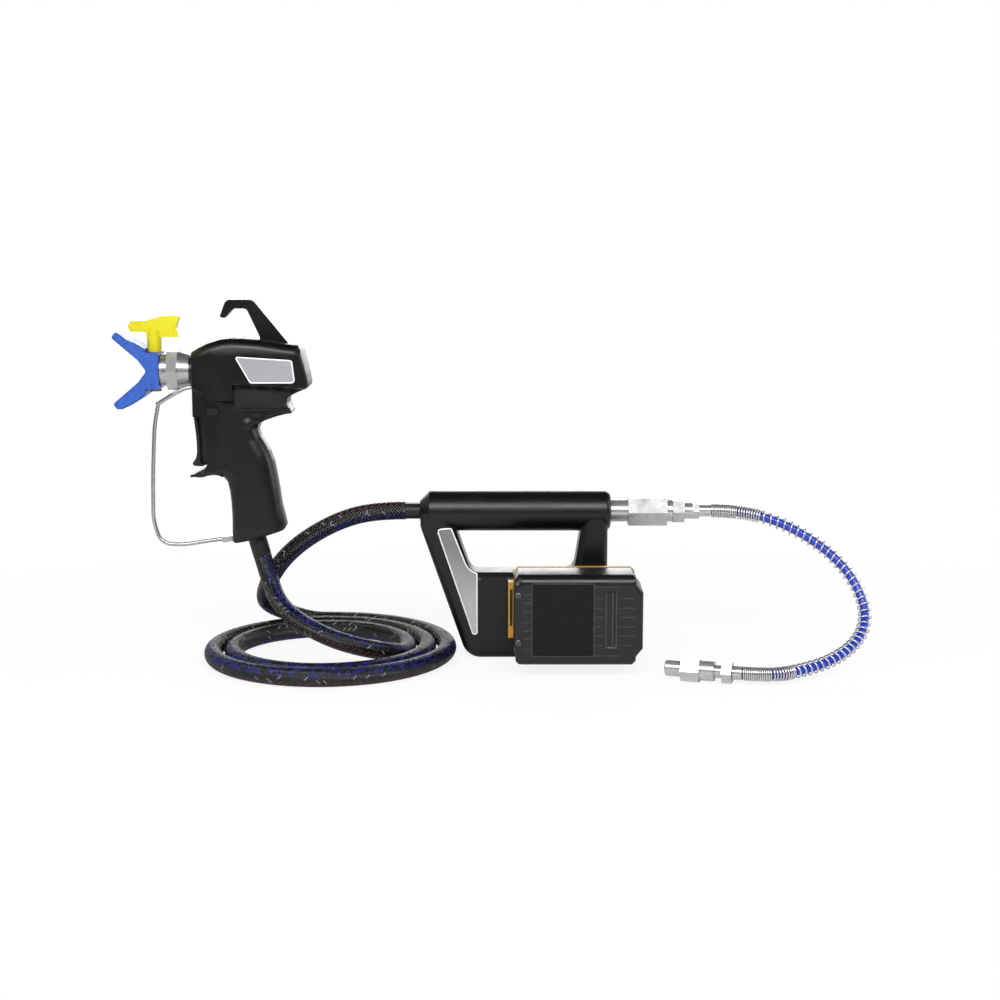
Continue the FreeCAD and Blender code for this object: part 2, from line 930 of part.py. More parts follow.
def gun_tube_path():
    """Up the grip, from the hose boot to the underside of the valve."""
    return tube_path([
        boot_point(-size.boot_inset - size.fit_gap),
        boot_point(-size.boot_inset - 20),
        (37.5, 0, -84),
        (30, 0, -48),
        (28.5, 0, -28),
        (28.5, 0, -size.valve_radius - size.part_gap),
    ])[0]


def guard_clip(name, spare=0):
    low = size.clip_low_z - spare
    top = size.clip_low_z + size.clip_height + spare
    return padded(name, "XZ_Plane", [
        (size.clip_x - spare, low, 1.5),
        (size.clip_x + size.clip_length + spare, low + 2, 1.5),
        (size.clip_x + size.clip_length + spare, top),
        (size.clip_x - spare, top - 1.4),
    ], size.clip_half_width * 2 + 2 * spare)


def gun_plate(name, spare=0):
    """The bare plate on the flank that faces the battery side."""
    back = size.gun_plate_back_x + spare
    return padded(name, "XZ_Plane", [
        (size.gun_plate_x - spare, size.gun_plate_top_z + spare, 1.5),
        (size.gun_plate_x + 12.5 - spare, size.gun_plate_low_z - spare, 3),
        (back - 1, size.gun_plate_low_z - spare, 3),
        (back - 3.2, size.gun_plate_top_z - 3 + spare, 2.5),
    ], size.gun_plate_thickness + spare,
        lift=size.head_half_width - size.gun_plate_thickness + 0.2 - spare)


def build_gun_housing():
    doc.recompute()
    solid = fused("gun_solid", head_form(), trigger_block(), grip_form())
    gap = size.run_gap
    bore = rod("gun_bore", -1, 0, 0, size.spigot_radius + gap, size.valve_front_x + 2)
    valve = rod("gun_valve_space", size.valve_front_x - gap, 0, 0, size.valve_radius + gap,
                size.valve_back_x - size.valve_front_x + 2 * gap)
    coil = rod("gun_coil_space", size.valve_back_x, 0, 0, size.coil_radius + gap,
               size.coil_back_x - size.valve_back_x + gap)
    slot = box("gun_slot", size.lip_x - 2, -size.slot_half_width, size.slot_bottom_z,
               size.slot_back_x - size.lip_x + 2, size.slot_half_width * 2,
               size.slot_top_z - size.slot_bottom_z)
    pin = rod("gun_pin_space", size.pivot_x, -size.pin_half_length - gap, size.pivot_z,
              size.pin_radius + size.fit_gap, 2 * (size.pin_half_length + gap), "y")
    reach = size.block_half_width + 8
    lock = lock_bar("gun_lock_space", size.run_gap * 2, reach, -reach)
    switch = box("gun_switch_space", size.slot_back_x - 1, -size.switch_half_width - gap,
                 size.switch_z - gap, size.switch_length + 1 + gap,
                 2 * (size.switch_half_width + gap), size.switch_height + 2 * gap)
    tube = shaped("gun_tube_space", swept(gun_tube_path(), plain(size.gun_tube_radius + gap)))
    sockets = [rod("gun_prong_space_%d" % (sign + 1), -1, sign * size.prong_y, size.prong_z,
                   size.wire_radius + size.fit_gap, size.prong_depth + 1)
               for sign in (-1, 1)]
    housing = cut("gun_housing", solid, bore, valve, coil, slot, pin, lock, switch, tube,
                  hook_bar("gun_hook_space", size.fit_gap), boot_form("gun_boot_space", 0, gap),
                  guard_clip("gun_clip_space", size.fit_gap),
                  gun_plate("gun_plate_space", size.fit_gap),
                  *sockets, *gun_screws("gun_screw_space", size.fit_gap, 20))
    node("gun_shell_left", half("gun_left", housing, front=True), on_gun=True)
    node("gun_shell_right", half("gun_right", housing, front=False), on_gun=True)
    node("hanging_hook", hook_bar("hook_form"), on_gun=True)
    node("gun_nameplate", gun_plate("gun_plate_form"), on_gun=True)
    node("hose_boot", boot_form("boot_shape", size.gun_tube_bore), on_gun=True)
    node("gun_screws", grouped("gun_screw_group", *gun_screws("gun_screw")), on_gun=True)


# Trigger, its pin and spring, the cross-bolt lock and the switch behind the trigger

def build_trigger():
    face = size.trigger_face_x
    blade = padded("trigger_blade", "XZ_Plane", [
        (0, size.trigger_top_z + 0.2),
        (face, size.trigger_top_z - 19, 60),
        (face + 0.2, size.trigger_tip_z + 13, 16),
        (size.trigger_tip_x, size.trigger_tip_z + 1.6, 1.2),
        (size.trigger_tip_x + 1.4, size.trigger_tip_z, 1),
        (size.trigger_tip_x + 8, size.trigger_tip_z + 0.4, 2),
        (size.trigger_back_x, size.trigger_tip_z + 12, 8),
        (size.trigger_back_x, size.switch_z + 4),
        (size.trigger_nub_x, size.switch_z + 4.6),
        (size.trigger_nub_x, size.switch_z + 8),
        (size.trigger_back_x + 0.6, size.switch_z + 9.6),
        (size.pivot_x + 3.8, size.pivot_z - 4, 3),
        (size.pivot_x + 3.8, size.pivot_z + 4.1, 3.5),
    ], size.trigger_half_width * 2)
    fork = box("trigger_fork", size.pivot_x - 4.2, -size.fork_half_gap, size.pivot_z - 4.5,
               10, 2 * size.fork_half_gap, 10)
    hole = rod("trigger_hole", size.pivot_x, -size.trigger_half_width - 1, size.pivot_z,
               size.pin_radius + size.run_gap, 2 * size.trigger_half_width + 2, "y")
    node("trigger", cut("trigger_form", blade, fork, hole), on_gun=True)
    node("trigger_pin", rod("trigger_pin_form", size.pivot_x, -size.pin_half_length,
                            size.pivot_z, size.pin_radius, 2 * size.pin_half_length, "y"),
         on_gun=True)
    length = size.fork_half_gap - size.part_gap
    coil = rod("trigger_spring_coil", size.pivot_x, -length, size.pivot_z,
               size.trigger_spring_radius, 2 * length, "y")
    eye = rod("trigger_spring_eye", size.pivot_x, -length - 1, size.pivot_z,
              size.pin_radius + size.run_gap, 2 * length + 2, "y")
    node("trigger_spring", cut("trigger_spring_form", coil, eye), on_gun=True)
    back = size.block_half_width + size.lock_stand_out
    node("trigger_lock", lock_bar("trigger_lock_form", 0, back - size.lock_travel, -back),
         on_gun=True)
    node("microswitch", box("microswitch_form", size.slot_back_x, -size.switch_half_width,
                            size.switch_z, size.switch_length, 2 * size.switch_half_width,
                            size.switch_height), on_gun=True)


# Valve, needle and solenoid on the spray axis

def build_valve():
    node("valve_body", turned("valve_form", [
        (size.spigot_front_x, size.seat_radius),
        (size.spigot_front_x, size.spigot_radius),
        (size.valve_front_x, size.spigot_radius),
        (size.valve_front_x, size.valve_radius),
        (size.valve_back_x, size.valve_radius),
        (size.valve_back_x, size.valve_bore),
        (size.spigot_front_x + size.seat_length, size.valve_bore),
        (size.spigot_front_x + size.seat_length, size.seat_radius),
    ]), on_gun=True)
    node("needle", turned("needle_form", [
        (size.needle_front_x, 0),
        (size.needle_front_x + 1.6, size.needle_radius),
        (size.plunger_front_x, size.needle_radius),
        (size.plunger_front_x, size.plunger_radius),
        (size.plunger_back_x, size.plunger_radius),
        (size.plunger_back_x, 0),
    ]), on_gun=True)
    node("needle_spring", ring("needle_spring_form",
                               size.plunger_back_x + size.needle_travel + size.part_gap,
                               size.coil_back_x - size.coil_wall - size.part_gap,
                               size.needle_spring_radius, size.needle_spring_bore),
         on_gun=True)
    node("solenoid_coil", turned("solenoid_form", [
        (size.valve_back_x + size.fit_gap, size.coil_bore),
        (size.valve_back_x + size.fit_gap, size.coil_radius),
        (size.coil_back_x, size.coil_radius),
        (size.coil_back_x, 0),
        (size.coil_back_x - size.coil_wall, 0),
        (size.coil_back_x - size.coil_wall, size.coil_bore),
    ]), on_gun=True)
    node("diffuser", ring("diffuser_form", size.spigot_front_x - size.diffuser_length,
                          size.spigot_front_x, size.diffuser_radius, size.seat_radius),
         on_gun=True)
    node("gun_fluid_tube", shaped("gun_tube_form", swept(
        gun_tube_path(), plain(size.gun_tube_radius), plain(size.gun_tube_bore))), on_gun=True)


# Retaining nut, tip guard and the spray tip that turns in it

def build_spray_end():
    nut = fused("nut_solid", turned("nut_round", [
        (size.nut_front_x, 0),
        (size.nut_front_x, size.nut_collar_radius),
        (size.nut_hex_x + 0.1, size.nut_collar_radius),
        (size.nut_hex_end_x - 0.1, size.nut_taper_radius),
        (size.nut_back_x, size.nut_back_radius),
        (size.nut_back_x, 0),
    ]), hex_bar("nut_hex", size.nut_across_flats, size.nut_hex_x,
                size.nut_hex_end_x - size.nut_hex_x))
    bore = turned("nut_bore", [
        (size.nut_front_x - 1, 0),
        (size.nut_front_x - 1, size.nut_mouth_radius),
        (size.nut_step_x, size.nut_mouth_radius),
        (size.nut_step_x, size.spigot_radius + size.run_gap),
        (size.nut_back_x + 1, size.spigot_radius + size.run_gap),
        (size.nut_back_x + 1, 0),
    ])
    node("retaining_nut", cut("nut_form", nut, bore), on_gun=True)
    node("nose_ring", ring("nose_ring_form", size.nut_back_x + size.part_gap, -size.fit_gap,
                           size.ring_radius, size.spigot_radius + size.fit_gap), on_gun=True)

    side = padded("guard_side", "XZ_Plane", mirrored([
        (size.guard_rear_x, size.guard_half_height),
        (size.guard_brow_x, size.guard_half_height, 1.5),
        (size.guard_wing_out_x, size.guard_wing_out_z, 2),
        (size.guard_wing_tip_x, size.guard_wing_tip_z, 2),
        (size.guard_jaw_x, size.guard_jaw_z, 5),
        (size.guard_mouth_x, size.guard_mouth_z),
    ]), 2 * size.guard_half_width + 4)
    plan = padded("guard_plan", "XY_Plane", mirrored([
        (size.guard_rear_x + 1, size.guard_half_width),
        (size.guard_jaw_x, size.guard_half_width, 20),
        (size.guard_wing_tip_x - 1, size.guard_wing_tip_half_width, 4),
    ]), 100)
    wings = common("guard_wings", side, plan)
    spigot = rod("guard_spigot", size.guard_rear_x - 1, 0, 0, size.guard_spigot_radius,
                 size.guard_spigot_x - size.guard_rear_x + 1)
    tip_hole = rod("guard_tip_hole", size.tip_x, 0, -2 * size.guard_half_height,
                   size.tip_barrel_radius + size.run_gap, 4 * size.guard_half_height, "z")
    mouth = rod("guard_mouth_hole", size.guard_jaw_x, 0, 0, size.guard_mouth_bore,
                size.guard_spigot_x - size.guard_jaw_x + 1)
    node("tip_guard", cut("guard_form", fused("guard_solid", wings, spigot), tip_hole, mouth),
         on_gun=True)

    barrel = rod("tip_barrel_solid", size.tip_x, 0, size.tip_barrel_low_z,
                 size.tip_barrel_radius, size.tip_barrel_top_z - size.tip_barrel_low_z, "z")
    orifice = rod("tip_orifice_hole", size.tip_x - size.tip_barrel_radius - 1, 0, 0,
                  size.tip_orifice, 2 * size.tip_barrel_radius + 2)
    node("tip_barrel", cut("tip_barrel_form", barrel, orifice), on_gun=True)
    node("tip_seal", ring("tip_seal_form",
                          size.tip_x + size.tip_barrel_radius + size.part_gap,
                          size.guard_spigot_x, size.guard_mouth_bore - size.fit_gap,
                          size.seal_bore), on_gun=True)

    stem = rod("tip_stem", size.tip_x, 0, size.guard_half_height + size.part_gap,
               size.tip_stem_radius,
               size.tip_blade_low_z - size.guard_half_height - size.part_gap + 1, "z")
    blade = padded("tip_blade", "XZ_Plane", [
        (size.tip_blade_nose_x, size.tip_blade_low_z + 4, 1.5),
        (size.tip_blade_nose_x + 3, size.tip_blade_low_z, 2),
        (size.tip_x - size.tip_stem_radius, size.tip_blade_low_z, 2),
        (size.tip_x - size.tip_stem_radius, size.tip_web_z),
        (size.tip_blade_tail_x - 0.6, size.tip_web_z, 1),
        (size.tip_blade_tail_x - 3, size.tip_blade_low_z + 4, 8),
        (size.tip_blade_tail_x, size.tip_blade_peak_z, 1),
        (size.tip_x + 8, size.tip_blade_peak_z, 12),
        (size.tip_x - 6, size.tip_blade_top_z, 12),
        (size.tip_blade_nose_x + 3, size.tip_blade_top_z, 2),
    ], 2 * size.tip_blade_half_thickness)
    socket = rod("tip_socket", size.tip_x, 0, 0, size.tip_barrel_radius + size.fit_gap,
                 size.tip_barrel_top_z + size.fit_gap, "z")
    node("tip_handle", cut("tip_handle_form", fused("tip_handle_solid", stem, blade), socket),
         on_gun=True)


# Trigger guard: two prongs in the nose that join in one wire down to a clip

def build_trigger_guard():
    radius = size.wire_radius.value
    join = (-30.2, 0, -28.4)
    tubes = []
    for sign in (-1, 1):
        tubes.append(swept(tube_path([
            (size.prong_depth - 0.2, sign * size.prong_y, size.prong_z),
            (-4, sign * size.prong_y, size.prong_z),
            (-14, sign * size.prong_y, size.prong_z - 4.8),
            (-26, sign * 3.2, -25.6),
            join,
        ])[0], radius))
    tubes.append(swept(tube_path([
        (join[0] + 0.6, 0, join[2] + 1.6),
        (-33.6, 0, -46),
        (-36.2, 0, -88),
        (-36.9, 0, -128),
        (-30.5, 0, -146.4),
        (-12, 0, -147.6),
        (8, 0, -144.2),
        (size.clip_x + size.clip_length - 1, 0, size.clip_low_z + 4.1),
    ])[0], radius))
    tubes.append(Part.makeSphere(radius * 1.15, Vector(*join)))
    wire = tubes[0].multiFuse(tubes[1:])
    node("trigger_guard", shaped("trigger_guard_form", wire), on_gun=True)
    bore = shaped("guard_clip_bore", swept(tube_path([
        (-12, 0, -147.6),
        (8, 0, -144.2),
        (size.clip_x + size.clip_length - 1, 0, size.clip_low_z + 4.1),
    ])[0], radius + size.fit_gap.value))
    node("guard_clip", cut("guard_clip_form", guard_clip("guard_clip_solid"), bore), on_gun=True)


# Handle: a tube on a D-shaped frame, moulded as two halves

def handle_frame(name):
    return padded(name, "XZ_Plane", [
        (size.leg_outer_x, size.line_z),
        (size.leg_outer_x, size.leg_outer_z, 12),
        (size.base_left_x, 0, size.base_left_round),
        (size.base_right_x, 0, size.base_right_round),
        (size.base_right_x, size.line_z),
    ], 2 * size.handle_half_depth)


def window_form():
    return padded("handle_window", "XZ_Plane", [
        (size.window_left_x, size.line_z - 3),
        (size.window_low_left_x, size.base_height, size.window_round),
        (size.window_low_right_x, size.base_height, size.window_round),
        (size.window_right_x, size.line_z - 3),
    ], 4 * size.handle_half_depth)


def leg_plate(name, spare=0):
    """The bare plate on the leg and the end of the base, on the battery side."""
    return padded(name, "XZ_Plane", [
        (-88.4 - spare, 110.6 + spare, 3),
        (-75.6 + spare, 111.6 + spare, 2),
        (-62 + spare, 77 - spare, 14),
        (-54 + spare, 73 - spare, 2),
        (-54 + spare, 20.5 - spare, 2.4),
        (-58.4 - spare, 20.5 - spare, 1.6),
    ], size.leg_plate_thickness + spare,
        lift=size.handle_half_depth - size.leg_plate_thickness + 0.2 - spare)


# Handle screws, as places on the side of the handle: leg, base and pillar
HANDLE_SCREWS = [(-84, 98), (-44, 12), (46, 62)]


def handle_screws(name, spare=0, deep=0):
    return [screw("%s_%d" % (name, i), x, size.screw_head_y, z, spare, deep)
            for i, (x, z) in enumerate(HANDLE_SCREWS)]


def terminal_block(name, spare=0):
    """A plate let into the front of the base, with two rails whose lips point apart."""
    front = size.handle_half_depth
    plate = box(name + "_plate", size.rail_x - spare, -front, size.block_low_z - spare,
                size.rail_length + 2 * spare, size.block_seat + spare,
                size.block_height + 2 * spare)
    pieces = [plate]
    for side, z, sign in (("low", size.rail_low_z, -1), ("high", size.rail_high_z, 1)):
        pieces.append(padded("%s_%s_rail" % (name, side), "YZ_Plane", [
            (-front + 1, z),
            (-front + 1, z + sign * size.rail_neck),
            (-front - size.rail_neck_depth, z + sign * size.rail_neck),
            (-front - size.rail_neck_depth, z + sign * (size.rail_neck + size.rail_lip)),
            (-front - size.rail_neck_depth - size.rail_lip_thickness,
             z + sign * (size.rail_neck + size.rail_lip)),
            (-front - size.rail_neck_depth - size.rail_lip_thickness, z),
        ], size.rail_length, lift=size.rail_x))
    return fused(name, *pieces)


def blade_places():
    middle = (size.rail_low_z + size.rail_high_z) / 2
    first = middle - (size.blade_count - 1) * size.blade_pitch / 2
    return [first + k * size.blade_pitch for k in range(size.blade_count.value)]


def terminal_blades(name, spare=0):
    front = size.handle_half_depth
    return [box("%s_%d" % (name, k), size.blade_x - spare, -front - size.blade_depth - spare,
                z - size.blade_thickness / 2 - spare, size.blade_length + 2 * spare,
                size.blade_depth + 3 + spare, size.blade_thickness + 2 * spare)
            for k, z in enumerate(blade_places())]


def build_handle():
    tube = place(turned("handle_tube", [
        (size.tube_left_x, 0),
        (size.tube_left_x, size.tube_radius - size.tube_left_bevel),
        (size.tube_left_x + size.tube_left_bevel, size.tube_radius),
        (size.tube_right_x, size.tube_radius, size.tube_right_round),
        (size.tube_right_x, 0),
    ]), z=size.line_z)
    frame = cut("handle_frame", handle_frame("handle_blank"), window_form())
    depth = size.handle_half_depth.value

    def outer_edge(middle, edge):
        near_left = middle.x < -58 and not window_side(middle)
        return abs(abs(middle.y) - depth) < 0.1 and middle.z < 108 and (
            near_left or middle.x > size.base_right_x.value - 3) and middle.z > 0.1

    def window_side(middle):
        inside_x = size.window_left_x.value - 1 < middle.x < size.window_right_x.value + 1
        return inside_x and middle.z > size.base_height.value - 0.5

    def window_edge(middle, edge):
        return abs(abs(middle.y) - depth) < 0.1 and window_side(middle) and middle.z < 119
    frame = rounded("handle_bevelled", frame, size.window_bevel, window_edge, "Chamfer")
    frame = rounded("handle_rounded", frame, size.outer_edge_round, outer_edge)
    solid = fused("handle_solid", frame, tube)
    gap = size.run_gap
    fluid = rod("handle_tube_space", size.tube_left_x - 1, 0, size.line_z,
                size.fluid_tube_radius + gap, size.tube_right_x - size.tube_left_x + 2)
    outlet = rod("handle_outlet_space", size.outlet_inner_x - gap, 0, size.line_z,
                 size.outlet_thread_radius + size.fit_gap, 40)
    board = box("handle_board_space", size.board_x - gap, size.board_y - 4,
                size.board_z - gap, size.board_length + 2 * gap, 11,
                size.board_height + 2 * gap)
    panel = box("handle_panel", size.panel_left_x, -size.handle_half_depth - 1,
                size.panel_low_z, size.panel_width, size.panel_depth + 1,
                size.panel_top_z - size.panel_low_z)
    housing = cut("handle_housing", solid, fluid, outlet, board, panel,
                  terminal_block("handle_block_space", size.fit_gap),
                  *terminal_blades("handle_blade_space", size.fit_gap),
                  leg_plate("handle_plate_space", size.fit_gap),
                  *handle_screws("handle_screw_space", size.fit_gap, 20))
    node("handle_shell_front", half("handle_front", housing, front=True))
    node("handle_shell_rear", half("handle_rear", housing, front=False))
    node("handle_nameplate", leg_plate("leg_plate_form"))
    node("handle_screws", grouped("handle_screw_group", *handle_screws("handle_screw")))
    node("control_board", box("control_board_form", size.board_x, size.board_y, size.board_z,
                              size.board_length, size.board_thickness, size.board_height))
    node("terminal_block", cut("terminal_block_form", terminal_block("terminal_block_solid"),
                               *terminal_blades("terminal_seat", size.fit_gap)))
    node("terminal_blades", grouped("terminal_blade_group", *terminal_blades("terminal_blade")))
    node("handle_fluid_tube", place(ring(
        "handle_tube_form", size.tube_left_x, size.fluid_tube_end_x,
        size.fluid_tube_radius, size.fluid_tube_bore), z=size.line_z))
    corner = size.collar_half_height - 0.5
    node("hose_collar", padded("hose_collar_form", "YZ_Plane", [
        (size.collar_half_width, size.line_z - size.collar_half_height, corner),
        (size.collar_half_width, size.line_z + size.collar_half_height, corner),
        (-size.collar_half_width, size.line_z + size.collar_half_height, corner),
        (-size.collar_half_width, size.line_z - size.collar_half_height, corner),
    ], size.collar_length, lift=size.tube_left_x - size.collar_length))


# Battery: two covers round the cells, a spring latch, and slots for the rails

def pack_blank():
    """The battery's outer form along X, with a bump on the end away from the latch."""
    low = size.pack_low_z
    top = low + size.pack_height
    corner = size.pack_round
    block = padded("pack_block", "YZ_Plane", [
        (size.pack_back_y, low, 2),
        (size.pack_back_y, top, 2),
        (size.pack_front_y, top, corner),
        (size.pack_front_y, low, corner),
    ], size.pack_length, lift=size.pack_x)
    middle = low + size.pack_height / 2
    bump = padded("pack_bump", "YZ_Plane", [
        (size.pack_split_y - 4, middle - size.pack_bump_height / 2, 3),
        (size.pack_split_y - 4, middle + size.pack_bump_height / 2, 3),
        (size.pack_front_y + 3, middle + size.pack_bump_height / 2, 3),
        (size.pack_front_y + 3, middle - size.pack_bump_height / 2, 3),
    ], size.pack_bump + 1, lift=size.pack_x + size.pack_length - 1)
    solid = fused("pack_solid", block, bump)
    ends = (size.pack_x.value, size.pack_x.value + size.pack_length.value)

    def end_edge(middle, edge):
        at_end = min(abs(middle.x - end) for end in ends) < 0.1
        outside = middle.z < low.value + 9 or middle.z > top.value - 9
        front = middle.y < size.pack_front_y.value + 2.5
        return at_end and (outside or front) and middle.y < size.pack_back_y.value - 1
    return rounded("pack_rounded", solid, 2.5, end_edge)


def rail_slots(name, spare):
    """The space that the rails and blades sweep, open at the end that slides off."""
    length = size.pack_length + size.pack_bump + 5
    front = size.handle_half_depth
    pieces = []
    for side, z, sign in (("low", size.rail_low_z, -1), ("high", size.rail_high_z, 1)):
        neck = size.rail_neck_depth
        lip = size.rail_neck + size.rail_lip + spare
        deep = -front - neck - size.rail_lip_thickness - spare
        pieces.append(padded("%s_%s" % (name, side), "YZ_Plane", [
            (size.pack_back_y + 2, z - sign * spare),
            (size.pack_back_y + 2, z + sign * (size.rail_neck + spare)),
            (-front - neck + spare, z + sign * (size.rail_neck + spare)),
            (-front - neck + spare, z + sign * lip),
            (deep, z + sign * lip),
            (deep, z - sign * spare),
        ], length, lift=size.rail_x - spare))
    for k, z in enumerate(blade_places()):
        pieces.append(box("%s_blade_%d" % (name, k), size.blade_x - spare,
                          -front - size.blade_depth - spare,
                          z - size.blade_thickness / 2 - spare, length,
                          size.blade_depth + spare, size.blade_thickness + 2 * spare))
    return pieces


def latch_block(name, spare, length):
    return box(name, size.pack_x - size.latch_stand_out, size.latch_y - spare,
               size.latch_low_z - spare, length, size.latch_depth + 2 * spare,
               size.latch_height + 2 * spare)


def build_battery():
    wall = size.pack_wall
    blank = pack_blank()
    rail_depth = size.rail_neck_depth + size.rail_lip_thickness
    roof_y = -size.handle_half_depth - rail_depth - size.slide_gap - wall
    hollow_x = size.pack_x + size.latch_pocket + wall
    hollow = box("pack_hollow", hollow_x, size.pack_front_y + wall, size.pack_low_z + wall,
                 size.pack_length - size.latch_pocket - 2 * wall,
                 roof_y - size.pack_front_y - wall, size.pack_height - 2 * wall)
    pocket = latch_block("latch_pocket", size.part_gap, size.latch_stand_out + size.latch_pocket)
    covers = cut("pack_covers", blank, hollow, pocket, *rail_slots("pack_slot", size.slide_gap))
    inner = box("pack_inner_side", -REACH, size.pack_split_y, -REACH,
                2 * REACH, REACH, 2 * REACH)
    node("battery_inner_cover", common("pack_inner", covers, inner))
    node("battery_outer_cover", cut("pack_outer", covers, inner))
    latch_length = size.latch_stand_out + size.latch_inset
    node("battery_latch", latch_block("latch_form", 0, latch_length))
    spring_x = size.pack_x + size.latch_inset + size.part_gap
    spring_back_x = size.pack_x + size.latch_pocket - size.latch_travel - size.part_gap
    node("latch_spring", rod(
        "latch_spring_form", spring_x, size.latch_y + size.latch_depth / 2,
        size.latch_low_z + size.latch_height / 2, size.latch_spring_radius,
        spring_back_x - spring_x))
    cells = []
    pitch = 2 * size.cell_radius + size.part_gap
    low_y = size.pack_front_y + wall + size.part_gap + size.cell_radius
    for k in range(size.cell_count.value):
        layer, place_in_layer = divmod(k, 3)
        z = size.pack_low_z + size.pack_height / 2 + (place_in_layer - 1 + layer * 0.5) * pitch
        cells.append(rod("cell_%d" % k, hollow_x + size.part_gap, low_y + layer * pitch * 0.9, z,
                         size.cell_radius, size.cell_length))
    node("battery_cells", grouped("cell_group", *cells))
    node("battery_board", box("battery_board_form", hollow_x + size.part_gap,
                              roof_y - size.part_gap - size.board_thickness,
                              size.rail_low_z, size.board_length, size.board_thickness,
                              size.rail_high_z - size.rail_low_z))


# Filter line, on the axis of the handle tube

def on_line(piece):
    return place(piece, z=size.line_z)


def build_filter_line():
    node("outlet_fitting", on_line(turned("outlet_form", [
        (size.outlet_inner_x, size.fluid_tube_bore),
        (size.outlet_inner_x, size.outlet_thread_radius),
        (size.tube_right_x + size.fit_gap, size.outlet_thread_radius),
        (size.tube_right_x + size.fit_gap, size.outlet_radius),
        (size.outlet_end_x, size.outlet_radius),
        (size.outlet_end_x, size.fluid_tube_bore),
    ])))
    filter_length = size.filter_back_x - size.filter_x
    bore = turned("filter_bore_form", [
        (size.filter_x - 1, 0),
        (size.filter_x - 1, size.outlet_radius + size.fit_gap),
        (size.outlet_end_x + size.fit_gap, size.outlet_radius + size.fit_gap),
        (size.outlet_end_x + size.fit_gap, size.fluid_tube_bore),
        (size.filter_chamber_x, size.fluid_tube_bore),
        (size.filter_chamber_x, size.filter_bore),
        (size.filter_back_x + 1, size.filter_bore),
        (size.filter_back_x + 1, 0),
    ])
    node("filter_body", on_line(cut("filter_form", hex_bar(
        "filter_hex", size.filter_across_flats, size.filter_x, filter_length), bore)))
    element_x = size.filter_chamber_x + size.part_gap
    node("filter_element", on_line(ring("element_form", element_x,
                                        element_x + size.element_length,
                                        size.element_radius, size.element_bore)))
    spring_x = element_x + size.element_length + size.part_gap
    node("filter_spring", on_line(ring("filter_spring_form", spring_x,
                                       size.adapter_root_x - size.part_gap,
                                       size.element_radius, size.element_bore)))
    node("filter_adapter", on_line(turned("adapter_form", [
        (size.adapter_root_x, size.adapter_bore),
        (size.adapter_root_x, size.filter_bore - size.fit_gap),
        (size.filter_back_x + size.fit_gap, size.filter_bore - size.fit_gap),
        (size.filter_back_x + size.fit_gap, size.adapter_radius),
        (size.adapter_back_x, size.adapter_radius),
        (size.adapter_back_x, size.adapter_pin_radius),
        (size.adapter_pin_x, size.adapter_pin_radius),
        (size.adapter_pin_x, size.adapter_bore),
    ])))
    nut_length = size.whip_nut_back_x - size.whip_nut_x
    lip_x = size.whip_nut_back_x - size.whip_nut_lip
    nut_bore = turned("whip_nut_bore", [
        (size.whip_nut_x - 1, 0),
        (size.whip_nut_x - 1, size.adapter_pin_radius + size.run_gap),
        (lip_x, size.adapter_pin_radius + size.run_gap),
        (lip_x, size.stem_radius + size.run_gap),
        (size.whip_nut_back_x + 1, size.stem_radius + size.run_gap),
        (size.whip_nut_back_x + 1, 0),
    ])
    node("whip_nut", on_line(cut("whip_nut_form", hex_bar(
        "whip_nut_hex", size.whip_nut_flats, size.whip_nut_x, nut_length), nut_bore)))
    stem = fused("stem_solid", turned("stem_round", [
        (size.adapter_pin_x + size.fit_gap, 0),
        (size.adapter_pin_x + size.fit_gap, size.adapter_pin_radius),
        (lip_x - size.part_gap, size.adapter_pin_radius),
        (lip_x - size.part_gap, size.stem_radius),
        (size.stem_collar_x, size.stem_radius),
        (size.stem_collar_x, size.stem_collar_radius),
        (size.stem_collar_back_x, size.stem_collar_radius),
        (size.stem_collar_back_x, size.stem_neck_radius),
        (size.stem_end_x, size.stem_neck_radius),
        (size.stem_end_x, 0),
    ]), hex_bar("stem_hex", size.stem_hex_flats, size.stem_collar_back_x,
                size.stem_hex_back_x - size.stem_collar_back_x))
    stem_bore = rod("stem_bore_form", size.adapter_pin_x - 1, 0, 0, size.stem_bore, 40)
    node("whip_stem", on_line(cut("stem_form", stem, stem_bore)))


# Inlet fitting, lying on the ground, drawn along X from the tip of its thread

def fitting_lengths():
    """Where the thread, hexagon, body, neck, swivel nut and barrel end, from the tip."""
    hexagon = size.thread_length + size.inlet_hex_length
    body = hexagon + size.inlet_body_length
    neck = body + size.inlet_neck_length
    nut = neck + size.swivel_nut_length
    return size.thread_length, hexagon, body, neck, nut, nut + size.barrel_length


def on_fitting(piece):
    return place(piece, size.fitting_x, size.fitting_y, size.fitting_z,
                 turn_z=size.fitting_turn)


def fitting_point(distance):
    turn = math.radians(size.fitting_turn.value)
    return (size.fitting_x + distance * math.cos(turn),
            size.fitting_y + distance * math.sin(turn), size.fitting_z)


